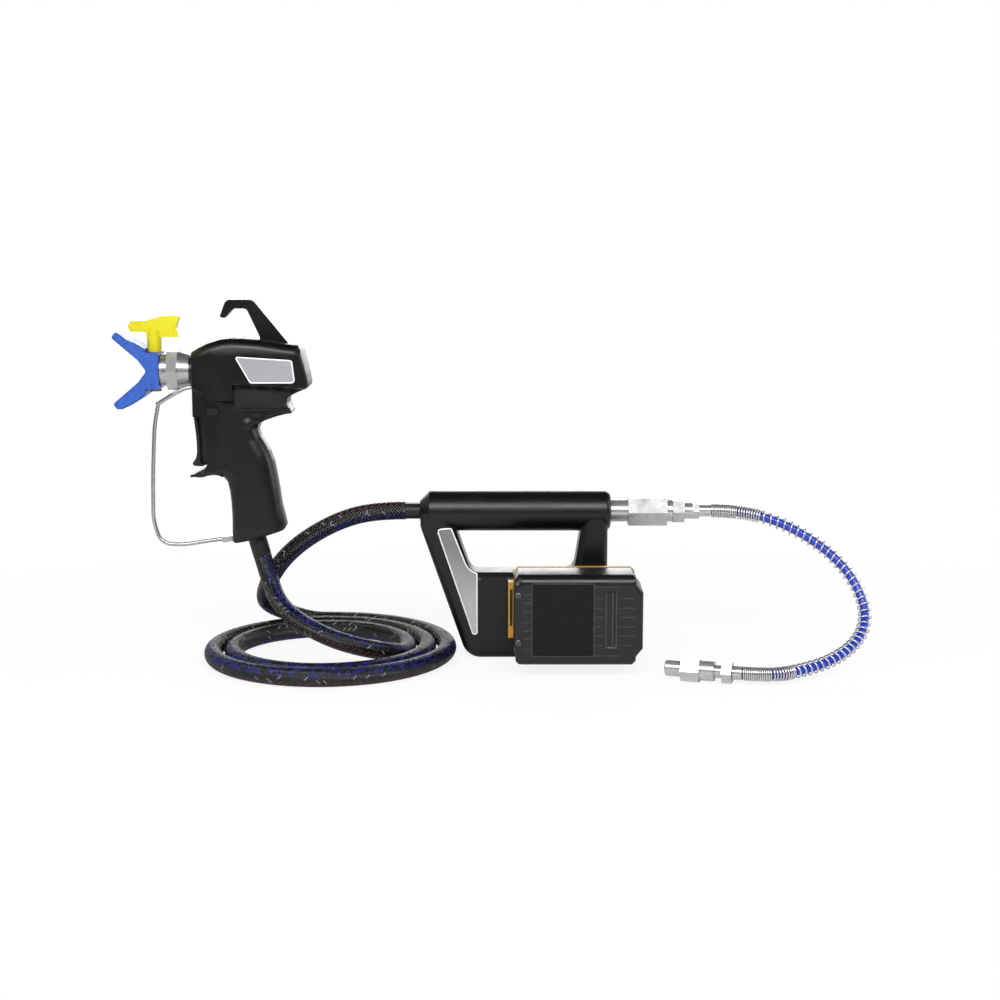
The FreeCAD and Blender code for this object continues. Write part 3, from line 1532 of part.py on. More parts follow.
def build_inlet():
    thread, hexagon, body, neck, nut, end = fitting_lengths()
    pin_end = nut - 2
    solid = fused("inlet_solid", turned("inlet_round", [
        (0, 0),
        (0, size.thread_radius - 0.8),
        (0.8, size.thread_radius),
        (thread, size.thread_radius),
        (hexagon, size.inlet_body_radius),
        (body, size.inlet_body_radius),
        (body, size.inlet_neck_radius),
        (neck - size.part_gap, size.inlet_neck_radius),
        (neck - size.part_gap, size.swivel_pin_radius),
        (pin_end, size.swivel_pin_radius),
        (pin_end, 0),
    ]), hex_bar("inlet_hex", size.inlet_hex_flats, thread, size.inlet_hex_length))
    bore = rod("inlet_bore_form", -1, 0, 0, size.inlet_bore / 2, pin_end + 2)
    node("inlet_body", on_fitting(cut("inlet_form", solid, bore)))
    nut_bore = turned("swivel_nut_bore", [
        (neck - 1, 0),
        (neck - 1, size.swivel_pin_radius + size.run_gap),
        (nut + 1, size.swivel_pin_radius + size.run_gap),
        (nut + 1, 0),
    ])
    node("inlet_swivel_nut", on_fitting(cut("swivel_nut_form", hex_bar(
        "swivel_nut_hex", size.swivel_nut_flats, neck, size.swivel_nut_length), nut_bore)))
    node("inlet_barrel", on_fitting(turned("barrel_form", [
        (pin_end + size.part_gap, size.stem_bore),
        (pin_end + size.part_gap, size.swivel_pin_radius),
        (nut + size.part_gap, size.swivel_pin_radius),
        (nut + size.part_gap, size.barrel_radius),
        (end, size.barrel_radius),
        (end, size.stem_bore),
    ])))


# Hoses

def coil_frame(angle):
    """A point of the flat coil's middle line and its direction, at an angle in degrees
    counted back from the outer end."""
    radius = size.coil_outer_radius.value - size.coil_pitch.value * (COIL_END - angle) / 360
    turn = math.radians(angle)
    out = Vector(math.cos(turn), math.sin(turn), 0)
    round_about = Vector(-math.sin(turn), math.cos(turn), 0)
    growth = size.coil_pitch.value / (2 * math.pi)
    centre = Vector(size.coil_x.value, size.coil_y.value, size.hose_radius.value)
    return centre + out * radius, (round_about * radius + out * growth).normalize()


COIL_START = 0
COIL_END = 810
HOSE_SIDES = 8


def build_gun_hose():
    radius = size.hose_radius.value
    area = math.pi * radius ** 2
    angles = range(COIL_START, COIL_END + 1, 90)
    points, directions = zip(*[coil_frame(angle) for angle in angles])
    path = wound(points, directions)
    coil = swept(path, radius, sides=HOSE_SIDES)
    apart = size.coil_pitch.value - 2 * radius
    print("gun_hose_coil: gap between turns %.2f mm" % apart)
    check_tube("gun_hose_coil", coil, path, area, [(p - Vector(
        size.coil_x.value, size.coil_y.value, p.z)).Length for p in points])
    node("gun_hose_coil", shaped("coil_form", coil))

    def world(point):
        return (size.gun_x + point[0], point[1], size.gun_z + point[2])
    routes = {
        "gun_hose_drop": [
            tuple(points[0]),
            tuple(points[0] - directions[0] * 15),
            (-124, -48, 13),
            (-146, -62, 20),
            (-172, -60, 27),
            (-199, -46, 37),
            (-221, -22, 49),
            world(boot_point(size.boot_length + 18)),
            world(boot_point(size.boot_length)),
        ],
        "gun_hose_lead": [
            tuple(points[-1]),
            tuple(points[-1] + directions[-1] * 22),
            (-226, 86, 17),
            (-238, 66, 27.5),
            (-241, 43, 39),
            (-235, 23, 57),
            (-219, 10, 82),
            (-194, 3, 103),
            (-163, 0, 118.5),
            (-135, 0, size.line_z),
            (size.tube_left_x - size.collar_length, 0, size.line_z),
        ],
    }
    for name, route in routes.items():
        path, radii = tube_path(route)
        tube = swept(path, radius, sides=HOSE_SIDES)
        check_tube(name, tube, path, area, radii)
        node(name, shaped(name + "_form", tube))


def whip_route():
    end = fitting_lengths()[-1]
    return [
        (size.stem_end_x, 0, size.line_z),
        (163, 0, size.line_z),
        (198, -3, 115.5),
        (232, -8, 97),
        (256, -16, 75),
        (268, -28, 51),
        (266, -42, 32),
        (252, -60, 20),
        (231, -77, 12.5),
        (206, -92, 9),
        fitting_point(end + 24),
        fitting_point(end),
    ]


def build_whip():
    radius = size.whip_radius.value
    path, radii = tube_path(whip_route())
    hose = swept(path, radius, sides=8)
    check_tube("whip_hose", hose, path, math.pi * radius ** 2, radii)
    node("whip_hose", shaped("whip_hose_form", hose))

    def at(distance):
        """The point, direction and edge of the middle line at a distance along it."""
        for edge in path.Edges:
            if distance <= edge.Length or edge is path.Edges[-1]:
                parameter = edge.getParameterByLength(min(distance, edge.Length))
                along = edge.tangentAt(parameter)
                return edge.valueAt(parameter), along
            distance -= edge.Length

    def piece_of(start, end):
        """The stretch of the middle line between two distances, as arcs."""
        steps = 6
        stations = [at(start + (end - start) * k / steps) for k in range(steps + 1)]
        edges = []
        for (p, along), (q, beyond) in zip(stations, stations[1:]):
            if (q - p).normalize() * along > 1 - 1e-9:
                edges.append(Part.LineSegment(p, q).toShape())
            else:
                edges.append(arc_from(p, along, q))
        return Part.Wire(edges)

    length = path.Length
    sleeve = size.sleeve_length.value
    ends = [piece_of(0.3, sleeve), piece_of(length - sleeve, length - 0.3)]
    sleeves = [swept(stretch, size.sleeve_radius.value, size.sleeve_bore.value)
               for stretch in ends]
    node("spring_end_sleeves", grouped("sleeve_group", *[
        shaped("sleeve_%d" % k, shape) for k, shape in enumerate(sleeves)]))

    curls = size.spring_curls.value
    first = sleeve + 2
    last = length - sleeve - 2
    samples, directions = [], []
    count = 2 * curls
    mean = size.spring_radius.value

    def spring_point(share):
        point, along = at(first + (last - first) * share)
        side = Vector(0, 1, 0)
        across = (side - along * (side * along)).normalize()
        up = along.cross(across)
        angle = 2 * math.pi * curls * share
        return point + across * (mean * math.cos(angle)) + up * (mean * math.sin(angle))

    small = 1e-5
    for k in range(count + 1):
        share = k / count
        before = spring_point(max(0, share - small))
        after = spring_point(min(1, share + small))
        samples.append(spring_point(share))
        directions.append((after - before).normalize())
    wire = wound(samples, directions)
    spring = wire.makePipeShell([section(wire, size.spring_wire.value / 2, 4)], True, False)
    points = [spring_point(k / (24 * curls)) for k in range(24 * curls + 1)]
    least = min((points[i] - points[j]).Length for i in range(0, len(points), 3)
                for j in range(i + 14, min(i + 40, len(points))))
    print("whip_spring: least gap to itself %.2f mm" % (least - size.spring_wire.value))
    node("whip_spring", shaped("whip_spring_form", spring))


# The whole part, checked and written

build_gun_housing()
build_trigger()
build_valve()
build_spray_end()
build_trigger_guard()
build_handle()
build_battery()
build_filter_line()
build_inlet()
build_gun_hose()
build_whip()
doc.recompute()

faults = [thing.Name for thing in doc.Objects if {"Invalid", "Error"} & set(thing.State)]
for name, piece in NODES.items():
    if piece.Shape.isNull() or not piece.Shape.isValid() or not piece.Shape.Solids:
        faults.append(name)
if faults:
    raise RuntimeError("failed: " + ", ".join(faults))

os.makedirs("parts", exist_ok=True)
for name, piece in NODES.items():
    piece.Shape.exportStep("parts/%s.step" % name)
print("%d nodes, %d solids" % (len(NODES), sum(len(p.Shape.Solids) for p in NODES.values())))
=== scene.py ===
import math

import bmesh
import bpy
import numpy as np
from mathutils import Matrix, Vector
from mathutils.geometry import delaunay_2d_cdt


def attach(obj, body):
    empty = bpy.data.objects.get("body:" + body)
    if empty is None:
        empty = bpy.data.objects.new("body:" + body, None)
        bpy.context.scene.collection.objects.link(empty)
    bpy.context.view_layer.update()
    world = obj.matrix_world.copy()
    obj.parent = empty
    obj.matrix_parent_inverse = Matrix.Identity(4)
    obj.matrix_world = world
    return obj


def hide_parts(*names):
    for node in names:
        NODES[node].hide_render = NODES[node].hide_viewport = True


# Battery airless paint sprayer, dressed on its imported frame. X runs along the handle tube
# away from the gun, Y away from the battery and Z up. Outlines and routes are in millimetres,
# as in the part's source, and all other lengths in metres.

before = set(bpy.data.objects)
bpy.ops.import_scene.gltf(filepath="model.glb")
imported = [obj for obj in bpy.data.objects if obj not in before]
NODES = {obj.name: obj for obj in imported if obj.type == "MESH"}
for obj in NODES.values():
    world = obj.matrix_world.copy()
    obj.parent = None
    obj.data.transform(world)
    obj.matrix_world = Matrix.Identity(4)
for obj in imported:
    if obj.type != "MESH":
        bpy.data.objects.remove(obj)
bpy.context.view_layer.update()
SCENE = bpy.context.scene


def link(thing):
    SCENE.collection.objects.link(thing)
    return thing


# Camera, as low and as far as in the picture

TARGET = Vector((-0.0353, 0, 0.1326))
PITCH = math.radians(9)
REACH = 1.5
HALF_WIDTH = 0.42


def build_camera():
    camera = link(bpy.data.objects.new("camera", bpy.data.cameras.new("camera")))
    camera.location = TARGET + REACH * Vector((0, -math.cos(PITCH), math.sin(PITCH)))
    camera.rotation_euler = (math.pi / 2 - PITCH, 0, 0)
    camera.data.angle = 2 * math.atan(HALF_WIDTH / REACH)
    camera.data.clip_start = 0.05
    camera.data.clip_end = 30
    SCENE.camera = camera


build_camera()
SCENE.view_settings.view_transform = "Standard"


# Lines and meshes

def metres(point):
    """A point in millimetres, turned into metres."""
    return tuple(v / 1000 for v in point)


def nurbs(name, points):
    """A smooth open line with these control points, in millimetres."""
    data = bpy.data.curves.new(name, "CURVE")
    data.dimensions = "3D"
    spline = data.splines.new("NURBS")
    spline.points.add(len(points) - 1)
    for control, point in zip(spline.points, points):
        control.co = (*metres(point), 1)
    spline.order_u = 3
    spline.use_endpoint_u = True
    data.resolution_u = 16
    return link(bpy.data.objects.new(name, data))


def line_of(curve):
    """The points of a curve's own line. The curve is then removed."""
    graph = bpy.context.evaluated_depsgraph_get()
    mesh = bpy.data.meshes.new_from_object(curve.evaluated_get(graph))
    points = np.array([v.co[:] for v in mesh.vertices])
    bpy.data.meshes.remove(mesh)
    bpy.data.objects.remove(curve)
    return points


def distances(points):
    """How far along a line each of its points lies."""
    return np.concatenate([[0], np.cumsum(np.linalg.norm(np.diff(points, axis=0), axis=1))])


def evenly(points, step):
    """The same line at even steps."""
    along = distances(points)
    stations = np.linspace(0, along[-1], max(2, int(round(along[-1] / step))) + 1)
    return np.column_stack([np.interp(stations, along, points[:, k]) for k in range(3)])


def frames_along(points, first_side):
    """Two directions square to a line at each point, carried along without twist."""
    along = np.gradient(points, axis=0)
    along /= np.linalg.norm(along, axis=1)[:, None]
    side = np.array(first_side, float)
    sides = []
    for direction in along:
        side = side - direction * (side @ direction)
        side /= np.linalg.norm(side)
        sides.append(side)
    sides = np.array(sides)
    return sides, np.cross(along, sides)


def mesh_object(name, points, faces, uvs=None):
    """A smooth-shaded object made of these points and faces."""
    mesh = bpy.data.meshes.new(name)
    mesh.from_pydata([tuple(p) for p in points], [], faces)
    mesh.update()
    if uvs is not None:
        layer = mesh.uv_layers.new(name="run")
        corners = np.array(faces).ravel()
        layer.data.foreach_set("uv", uvs[corners].astype(np.float32).ravel())
    mesh.shade_smooth()
    return link(bpy.data.objects.new(name, mesh))


def object_from(name, work):
    mesh = bpy.data.meshes.new(name)
    work.to_mesh(mesh)
    work.free()
    return link(bpy.data.objects.new(name, mesh))


def closed_mesh(thing):
    """Joins doubled points, closes open ends and turns every face outwards."""
    work = bmesh.new()
    work.from_mesh(thing.data)
    bmesh.ops.remove_doubles(work, verts=work.verts, dist=1e-6)
    bmesh.ops.holes_fill(work, edges=[e for e in work.edges if e.is_boundary], sides=0)
    bmesh.ops.recalc_face_normals(work, faces=work.faces)
    work.to_mesh(thing.data)
    work.free()
    return thing


def smooth_by_angle(thing, degrees=32):
    """Smooth shading with hard edges where faces meet at more than an angle."""
    thing.data.shade_smooth()
    thing.data.set_sharp_from_angle(angle=math.radians(degrees))
    return thing


def tube_mesh(name, line, radius_at, around, side=(0, 0, 1)):
    """A tube round a line. radius_at gives the radii of one ring from the distance along
    the line and the shares of the turn at which its points lie."""
    sides, across = frames_along(line, side)
    runs = distances(line)
    shares = np.arange(around + 1) / around
    cosine, sine = np.cos(2 * math.pi * shares)[:, None], np.sin(2 * math.pi * shares)[:, None]
    rings = []
    for k, centre in enumerate(line):
        radii = np.broadcast_to(radius_at(runs[k], shares), shares.shape)[:, None]
        rings.append(centre + radii * (cosine * sides[k] + sine * across[k]))
    stride = around + 1
    uvs = np.array([(run, share) for run in runs for share in shares])
    faces = [(k * stride + j, k * stride + j + 1, (k + 1) * stride + j + 1, (k + 1) * stride + j)
             for k in range(len(line) - 1) for j in range(around)]
    return closed_mesh(mesh_object(name, np.concatenate(rings), faces, uvs))


def dressed(piece, body):
    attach(piece, body)
    return piece


# Gun hose: out of the grip, round the flat coil and up to the handle

COIL_CENTRE = (-182, -12)
COIL_HEIGHT = 7.9
COIL_RADIUS = 106.5
COIL_PITCH = 17
COIL_DEGREES = 810
COIL_STEP = 15


def coil_point(angle):
    """A control point of the flat coil, counted in degrees from its inner end. It stands a
    little outside the round line that it draws."""
    radius = COIL_RADIUS - COIL_PITCH * (COIL_DEGREES - angle) / 360
    swell = 1 / math.cos(math.radians(COIL_STEP / 2))
    turn = math.radians(angle)
    return (COIL_CENTRE[0] + radius * swell * math.cos(turn),
            COIL_CENTRE[1] + radius * swell * math.sin(turn), COIL_HEIGHT)


HOSE_DROP = [
    (-236.117, 0, 86.739), (-231.337, 0, 69.385), (-221, -22, 49), (-199, -46, 37),
    (-172, -60, 27), (-146, -62, 20), (-124, -48, 13), (-114.34, -26.99, 8),
]
HOSE_LEAD = [
    (-203.99, 95.06, 8), (-226, 86, 17), (-238, 66, 27.5), (-241, 43, 39), (-235, 23, 57),
    (-219, 10, 82), (-194, 3, 103), (-163, 0, 118.5), (-135, 0, 123.6), (-114.7, 0, 123.6),
]
COIL = [coil_point(angle) for angle in range(0, COIL_DEGREES + 1, COIL_STEP)]
HOSE_DIAMETER = 0.015
HOSE_STEP = 0.0007
HOSE_SIDES = 80
BUNDLES = 18
LAY = 0.046
BRAID_RELIEF = 0.00052


def braid_radius(run, shares):
    """The braid's relief: bundles that cross two over and two under."""
    p = BUNDLES * (shares + run / LAY)
    q = BUNDLES * (shares - run / LAY)
    over = np.mod(np.floor(p) + np.floor(q), 4) < 2
    inside = np.where(over, np.mod(p, 1), np.mod(q, 1))
    crown = np.sqrt(np.clip(1 - (2 * inside - 1) ** 2, 0, 1))
    return HOSE_DIAMETER / 2 - BRAID_RELIEF + BRAID_RELIEF * crown


def build_gun_hose():
    points = evenly(line_of(nurbs("hose_line", HOSE_DROP + COIL + HOSE_LEAD)), HOSE_STEP)
    hose = tube_mesh("gun_hose", points, braid_radius, HOSE_SIDES)
    dressed(hose, "frame")
    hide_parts("gun_hose_drop", "gun_hose_coil", "gun_hose_lead")
    return hose


gun_hose = build_gun_hose()


# Whip hose with its guard spring, and the way that the inlet fitting points

FITTING_TIP = Vector((98, -84, 9.6))
FITTING_TURN = math.radians(-17)
FITTING_ALONG = Vector((math.cos(FITTING_TURN), math.sin(FITTING_TURN), 0))
FITTING_END = 62.1


def fitting_point(distance):
    return tuple(FITTING_TIP + FITTING_ALONG * distance)


WHIP = [
    (141.5, 0, 123.6), (163, 0, 123.6), (198, -3, 115.5), (232, -8, 97), (256, -16, 75),
    (268, -28, 51), (266, -42, 32), (252, -60, 20), (231, -77, 12.5), (206, -92, 9),
    fitting_point(FITTING_END + 24), fitting_point(FITTING_END),
]
WHIP_DIAMETER = 0.0071
SPRING_MEAN = 0.00515
SPRING_WIRE = 0.00155
WIRE_STEPS = 28
SLEEVE = 0.022
SLEEVE_TURNS = 14
SLEEVE_INSET = 0.0003
CLOSE_TURNS = 9
CLOSE_PITCH = 0.00215
OPEN_TURNS = 38
SPRING_GAP = 0.0006


def wound_wire(name, line, turns, places):
    """A round wire wound on a line: turn by turn it stands at these places along it."""
    sides, across = frames_along(line, (0, 1, 0))
    runs = distances(line)
    turned = np.linspace(0, turns[-1], int(turns[-1] * WIRE_STEPS) + 1)
    stations = np.interp(turned, turns, places)

    def at(values):
        return np.column_stack([np.interp(stations, runs, values[:, k]) for k in range(3)])
    angle = 2 * math.pi * turned
    path = at(line) + SPRING_MEAN * (np.cos(angle)[:, None] * at(sides)
                                     + np.sin(angle)[:, None] * at(across))
    return tube_mesh(name, path, lambda run, shares: SPRING_WIRE / 2, 8, side=(0.3, 0.5, 0.8))


def build_guard_spring(line, length):
    """A spring wound close at its ends and open between them."""
    close_run = CLOSE_TURNS * CLOSE_PITCH
    start = SLEEVE + SPRING_GAP
    end = length - start
    spring = wound_wire(
        "whip_guard_spring", line,
        [0, CLOSE_TURNS, CLOSE_TURNS + OPEN_TURNS, 2 * CLOSE_TURNS + OPEN_TURNS],
        [start, start + close_run, end - close_run, end])
    dressed(spring, "frame")
    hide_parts("whip_spring")
    return spring


def build_sleeves(line, length):
    sleeves = []
    for side_name, start in (("left", SLEEVE_INSET), ("right", length - SLEEVE)):
        sleeve = wound_wire("spring_sleeve_" + side_name, line, [0, SLEEVE_TURNS],
                            [start, start + SLEEVE - SLEEVE_INSET])
        sleeves.append(dressed(sleeve, "frame"))
    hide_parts("spring_end_sleeves")
    return sleeves


def build_whip():
    line = evenly(line_of(nurbs("whip_hose_line", WHIP)), 0.0015)
    length = distances(line)[-1]
    hose = tube_mesh("whip_blue_hose", line, lambda run, shares: WHIP_DIAMETER / 2, 24)
    dressed(hose, "frame")
    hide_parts("whip_hose")
    coils = [build_guard_spring(line, length), *build_sleeves(line, length)]
    return hose, coils


whip_hose, whip_coils = build_whip()


# Materials

MATERIALS = {}


class Nodes:
    """A node tree, with short names for the nodes that it uses."""

    def __init__(self, tree):
        self.tree = tree

    def add(self, kind, inputs=(), **properties):
        made = self.tree.nodes.new("ShaderNode" + kind)
        for key, value in properties.items():
            setattr(made, key, value)
        for key, value in dict(inputs).items():
            self.feed(made.inputs[key], value)
        return made

    def feed(self, socket, value):
        """Links a socket to an output, or sets its own value."""
        if isinstance(value, bpy.types.NodeSocket):
            self.tree.links.new(value, socket)
        else:
            socket.default_value = value

    def maths(self, operation, *values):
        made = self.add("Math", operation=operation)
        for socket, value in zip(made.inputs, values):
            self.feed(socket, value)
        return made.outputs[0]

    def product(self, first, *others):
        for other in others:
            first = self.maths("MULTIPLY", first, other)
        return first

    def span(self, value, low, high, to_low, to_high):
        return self.add("MapRange", {
            "Value": value, "From Min": low, "From Max": high,
            "To Min": to_low, "To Max": to_high}).outputs["Result"]

    def mix(self, share, first, second):
        made = self.add("Mix", data_type="RGBA")
        self.feed(made.inputs["Factor"], share)
        for socket, value in ((made.inputs[6], first), (made.inputs[7], second)):
            self.feed(socket, value if isinstance(value, bpy.types.NodeSocket) else (*value, 1))
        return made.outputs[2]


class Finish(Nodes):
    """A material built from nodes, which pieces then wear by its name."""

    def __init__(self, name, colour, roughness, metallic=0.0, sockets=()):
        self.material = bpy.data.materials.new(name)
        self.material.use_nodes = True
        super().__init__(self.material.node_tree)
        self.shader = self.tree.nodes["Principled BSDF"]
        for socket, value in {"Base Color": (*colour, 1), "Roughness": roughness,
                              "Metallic": metallic, **dict(sockets)}.items():
            self.feed(self.shader.inputs[socket], value)
        MATERIALS[name] = self.material

    def place(self):
        return self.add("TexCoord").outputs["Object"]

    def stretched(self, scales):
        return self.add("VectorMath", {0: self.place(), 1: scales},
                        operation="MULTIPLY").outputs["Vector"]

    def noise(self, scale, detail=2.0, roughness=0.5, vector=None):
        return self.add("TexNoise", {
            "Vector": vector or self.place(), "Scale": scale, "Detail": detail,
            "Roughness": roughness}).outputs["Fac"]

    def paint(self, value):
        self.feed(self.shader.inputs["Base Color"], value)

    def dull(self, noise, low, high):
        """Roughness that drifts between two values."""
        self.feed(self.shader.inputs["Roughness"], self.span(noise, 0.3, 0.7, low, high))

    def relief(self, height, distance, strength=1.0):
        made = self.add("Bump", {"Height": height, "Distance": distance, "Strength": strength})
        self.feed(self.shader.inputs["Normal"], made.outputs["Normal"])


def tone(colour, factor):
    return tuple(min(1, c * factor) for c in colour)


def moulded(name, colour, roughness, grain, depth, specular=0.5):
    """Moulded plastic or rubber: fine grain, soft changes of gloss, paler specks."""
    finish = Finish(name, colour, roughness, sockets={"Specular IOR Level": specular})
    finish.dull(finish.noise(35, 3), roughness - 0.04, roughness + 0.06)
    speck = finish.span(finish.noise(grain * 0.4, 2), 0.35, 0.7, 0, 1)
    finish.paint(finish.mix(speck, tone(colour, 0.82), tone(colour, 1.22)))
    finish.relief(finish.noise(grain, 3), depth)


def metal(name, colour, roughness, grain, depth, metallic=0.8):
    """Machined or plated metal with fine tool marks and stains."""
    finish = Finish(name, colour, roughness, metallic)
    finish.dull(finish.noise(60, 3), roughness * 0.75, roughness * 1.35)
    stain = finish.span(finish.noise(140, 4, 0.6), 0.35, 0.75, 0, 1)
    finish.paint(finish.mix(stain, colour, tone(colour, 0.86)))
    finish.relief(finish.noise(grain, 3), depth)


def brushed(name, colour, roughness, scales, painted_shade=None):
    """Satin sheet metal with long fine scratches one way. fade gives two heights and the
    shares of the colour at them, the rest of it turning black: painted shade."""
    finish = Finish(name, colour, roughness, metallic=0.45)
    scratch = finish.noise(1.0, 4, 0.65, finish.stretched(scales))
    finish.dull(scratch, roughness - 0.08, roughness + 0.1)
    light = finish.mix(finish.span(scratch, 0.3, 0.7, 0, 1), tone(colour, 0.88),
                       tone(colour, 1.06))
    if painted_shade:
        height = finish.add("SeparateXYZ", {0: finish.place()}).outputs["Z"]
        # Painted shade: the colour is mixed towards black between the two heights.
        light = finish.mix(finish.span(height, *painted_shade), (0, 0, 0), light)
    speck = finish.span(finish.noise(1900, 2), 0.4, 0.75, 0, 0.35)
    finish.paint(finish.mix(speck, light, tone(colour, 0.6)))
    finish.relief(scratch, 0.00002)


def turned_metal(name, colour, roughness, axis, pitch):
    """Metal turned on a lathe: fine rings along an axis."""
    finish = Finish(name, colour, roughness, metallic=0.72)
    along = finish.add("VectorMath", {0: finish.place(), 1: axis},
                       operation="DOT_PRODUCT").outputs["Value"]
    ring = finish.maths("SINE", finish.product(along, 2 * math.pi / pitch))
    finish.dull(finish.noise(90, 3), roughness * 0.8, roughness * 1.3)
    stain = finish.span(finish.noise(200, 3), 0.3, 0.8, 0, 1)
    finish.paint(finish.mix(stain, colour, tone(colour, 0.88)))
    finish.relief(ring, 0.000008, 0.5)


def translucent(name, colour, roughness):
    """Bright plastic that lets a little light through."""
    finish = Finish(name, colour, roughness, sockets={"Transmission Weight": 0.15, "IOR": 1.46})
    finish.dull(finish.noise(50, 2), roughness - 0.05, roughness + 0.08)
    finish.paint(finish.mix(finish.noise(90, 2), colour, tone(colour, 0.9)))
    finish.relief(finish.noise(400, 2), 0.00004)


def woven(name, colour, waves):
    finish = Finish(name, colour, 0.35, metallic=1.0)
    place = finish.add("SeparateXYZ", {0: finish.place()}).outputs
    grid = finish.product(*(finish.maths("SINE", finish.product(place[axis], waves))
                            for axis in "XZ"))
    # Painted shade: the colour darkens in the dips of the weave.
    finish.paint(finish.mix(finish.span(grid, -1, 1, 0, 1), tone(colour, 0.3), colour))
    finish.relief(grid, 0.00005)


# Hose braid. A dash is what shows of a bundle before it passes under the others

BLUE_FIRST = 1
BLUE_COLUMNS = 3
COPPER_COLUMN = 6
DASH_BLACK = (0.002, 0.002, 0.003)
DASH_GREY = (0.032, 0.033, 0.037)
DASH_PALE = (0.22, 0.23, 0.25)
DASH_BLUE = (0.01, 0.012, 0.26)
DASH_COPPER = (0.16, 0.04, 0.012)
# Painted shade for the creases between bundles and between their threads.
BUNDLE_CREASE_SHADE = (0.001, 0.001, 0.0015)
THREAD_CREASE_SHADE = (0.0015, 0.0015, 0.002)


def braid_dashes(finish):
    """Where a point of the braid lies: its share of the way across its bundle, the number
    of the bundle and the column of dashes along the hose."""
    parts = finish.add("SeparateXYZ", {0: finish.add("UVMap", uv_map="run").outputs["UV"]})
    run = finish.product(parts.outputs["X"], BUNDLES / LAY)
    turn = finish.product(parts.outputs["Y"], BUNDLES)
    p = finish.maths("ADD", turn, run)
    q = finish.maths("SUBTRACT", turn, run)
    p_index = finish.maths("FLOOR", p)
    q_index = finish.maths("FLOOR", q)
    total = finish.maths("ADD", p_index, q_index)
    over = finish.maths("LESS_THAN", finish.maths("FLOORED_MODULO", total, 4.0), 2.0)

    def choose(first, second):
        return finish.add("Mix", {0: over, 2: second, 3: first}, data_type="FLOAT").outputs[0]
    across = finish.maths("FRACT", choose(p, q))
    pair = finish.maths("FLOOR", finish.product(total, 0.5))
    return (across, choose(p_index, q_index),
            finish.maths("FLOORED_MODULO", pair, float(BUNDLES)))


def braid(name):
    """Braided sleeve: columns of short slanted dashes, black and grey, with dashes of blue
    in a few columns side by side and copper flecks in one. Painted shade darkens the creases
    between bundles and between their threads."""
    finish = Finish(name, DASH_BLACK, 0.26)
    across, bundle, column = braid_dashes(finish)
    wave = finish.maths("SINE", finish.product(across, 4 * math.pi))
    threads = finish.maths("ABSOLUTE", wave)
    off_middle = finish.maths("ABSOLUTE", finish.span(across, 0, 1, -1, 1))
    dash = finish.add("CombineXYZ", {0: bundle, 1: column})
    chance = finish.add("TexWhiteNoise", {"Vector": dash.outputs[0]},
                        noise_dimensions="2D").outputs["Value"]
    cloth = finish.mix(finish.maths("POWER", chance, 2.2), DASH_BLACK, DASH_GREY)
    cloth = finish.mix(finish.maths("GREATER_THAN", chance, 0.93), cloth, DASH_PALE)
    on_dash = finish.span(off_middle, 0.35, 0.6, 1, 0)
    # Painted shade along the creases at the edges of each bundle.
    cloth = finish.mix(on_dash, BUNDLE_CREASE_SHADE, cloth)
    finish.feed(finish.shader.inputs["Specular IOR Level"], finish.product(on_dash, 0.8))
    blue_band = finish.maths("FLOORED_MODULO", finish.maths("SUBTRACT", column, BLUE_FIRST),
                             BUNDLES / 2)
    blue = finish.product(finish.maths("LESS_THAN", blue_band, BLUE_COLUMNS - 0.5),
                          finish.maths("GREATER_THAN", chance, 0.48),
                          finish.maths("LESS_THAN", off_middle, 0.4))
    cloth = finish.mix(blue, cloth, DASH_BLUE)
    even_bundle = finish.maths("LESS_THAN", finish.maths("FLOORED_MODULO", bundle, 2.0), 0.5)
    copper_fleck = finish.product(finish.maths("COMPARE", column, float(COPPER_COLUMN), 0.4),
                                  even_bundle, finish.maths("LESS_THAN", off_middle, 0.5))
    cloth = finish.mix(copper_fleck, cloth, DASH_COPPER)
    # Painted shade: darker between the threads and towards the edges of each bundle.
    light = finish.product(finish.span(threads, 0, 1, 0.45, 1),
                           finish.span(finish.product(off_middle, off_middle), 1, 0.3, 0.1, 1))
    finish.paint(finish.mix(light, THREAD_CREASE_SHADE, cloth))
    finish.relief(threads, 0.00012, 0.8)


# Every finish: colour, roughness, scale and depth of the grain. Then comes the specular level
# of a plastic, or how metallic a metal is

SATIN = 0.37
PLASTICS = {
    "gun_plastic": ((0.0018, 0.0016, 0.0018), 0.33, 2600, 0.00003, SATIN),
    "trigger_plastic": ((0.004, 0.004, 0.0045), 0.32, 3000, 0.00001),
    "handle_plastic": ((0.0025, 0.0022, 0.0026), 0.34, 2400, 0.000035, SATIN),
    "battery_plastic": ((0.004, 0.0037, 0.0041), 0.3, 1700, 0.00003, 0.43),
    # The ribs' plastic is the battery plastic made paler: a painted highlight.
    "rib_plastic_painted_highlight": ((0.03, 0.029, 0.03), 0.35, 1700, 0.00003),
    "label_film": ((0.003, 0.003, 0.0032), 0.45, 700, 0.00001, 0.2),
    "boot_rubber": ((0.005, 0.005, 0.0055), 0.45, 1200, 0.00005, SATIN),
    "seal_rubber": ((0.02, 0.02, 0.02), 0.6, 1500, 0.00003),
    "guard_blue": ((0.029, 0.093, 0.4), 0.33, 1500, 0.00002),
    "latch_yellow": ((0.55, 0.27, 0.012), 0.4, 1500, 0.00003),
    "board_green": ((0.01, 0.12, 0.05), 0.35, 500, 0.00003),
    "cell_wrap": ((0.03, 0.22, 0.17), 0.25, 300, 0.00001),
    "whip_blue": ((0.012, 0.04, 0.42), 0.28, 900, 0.00002),
}
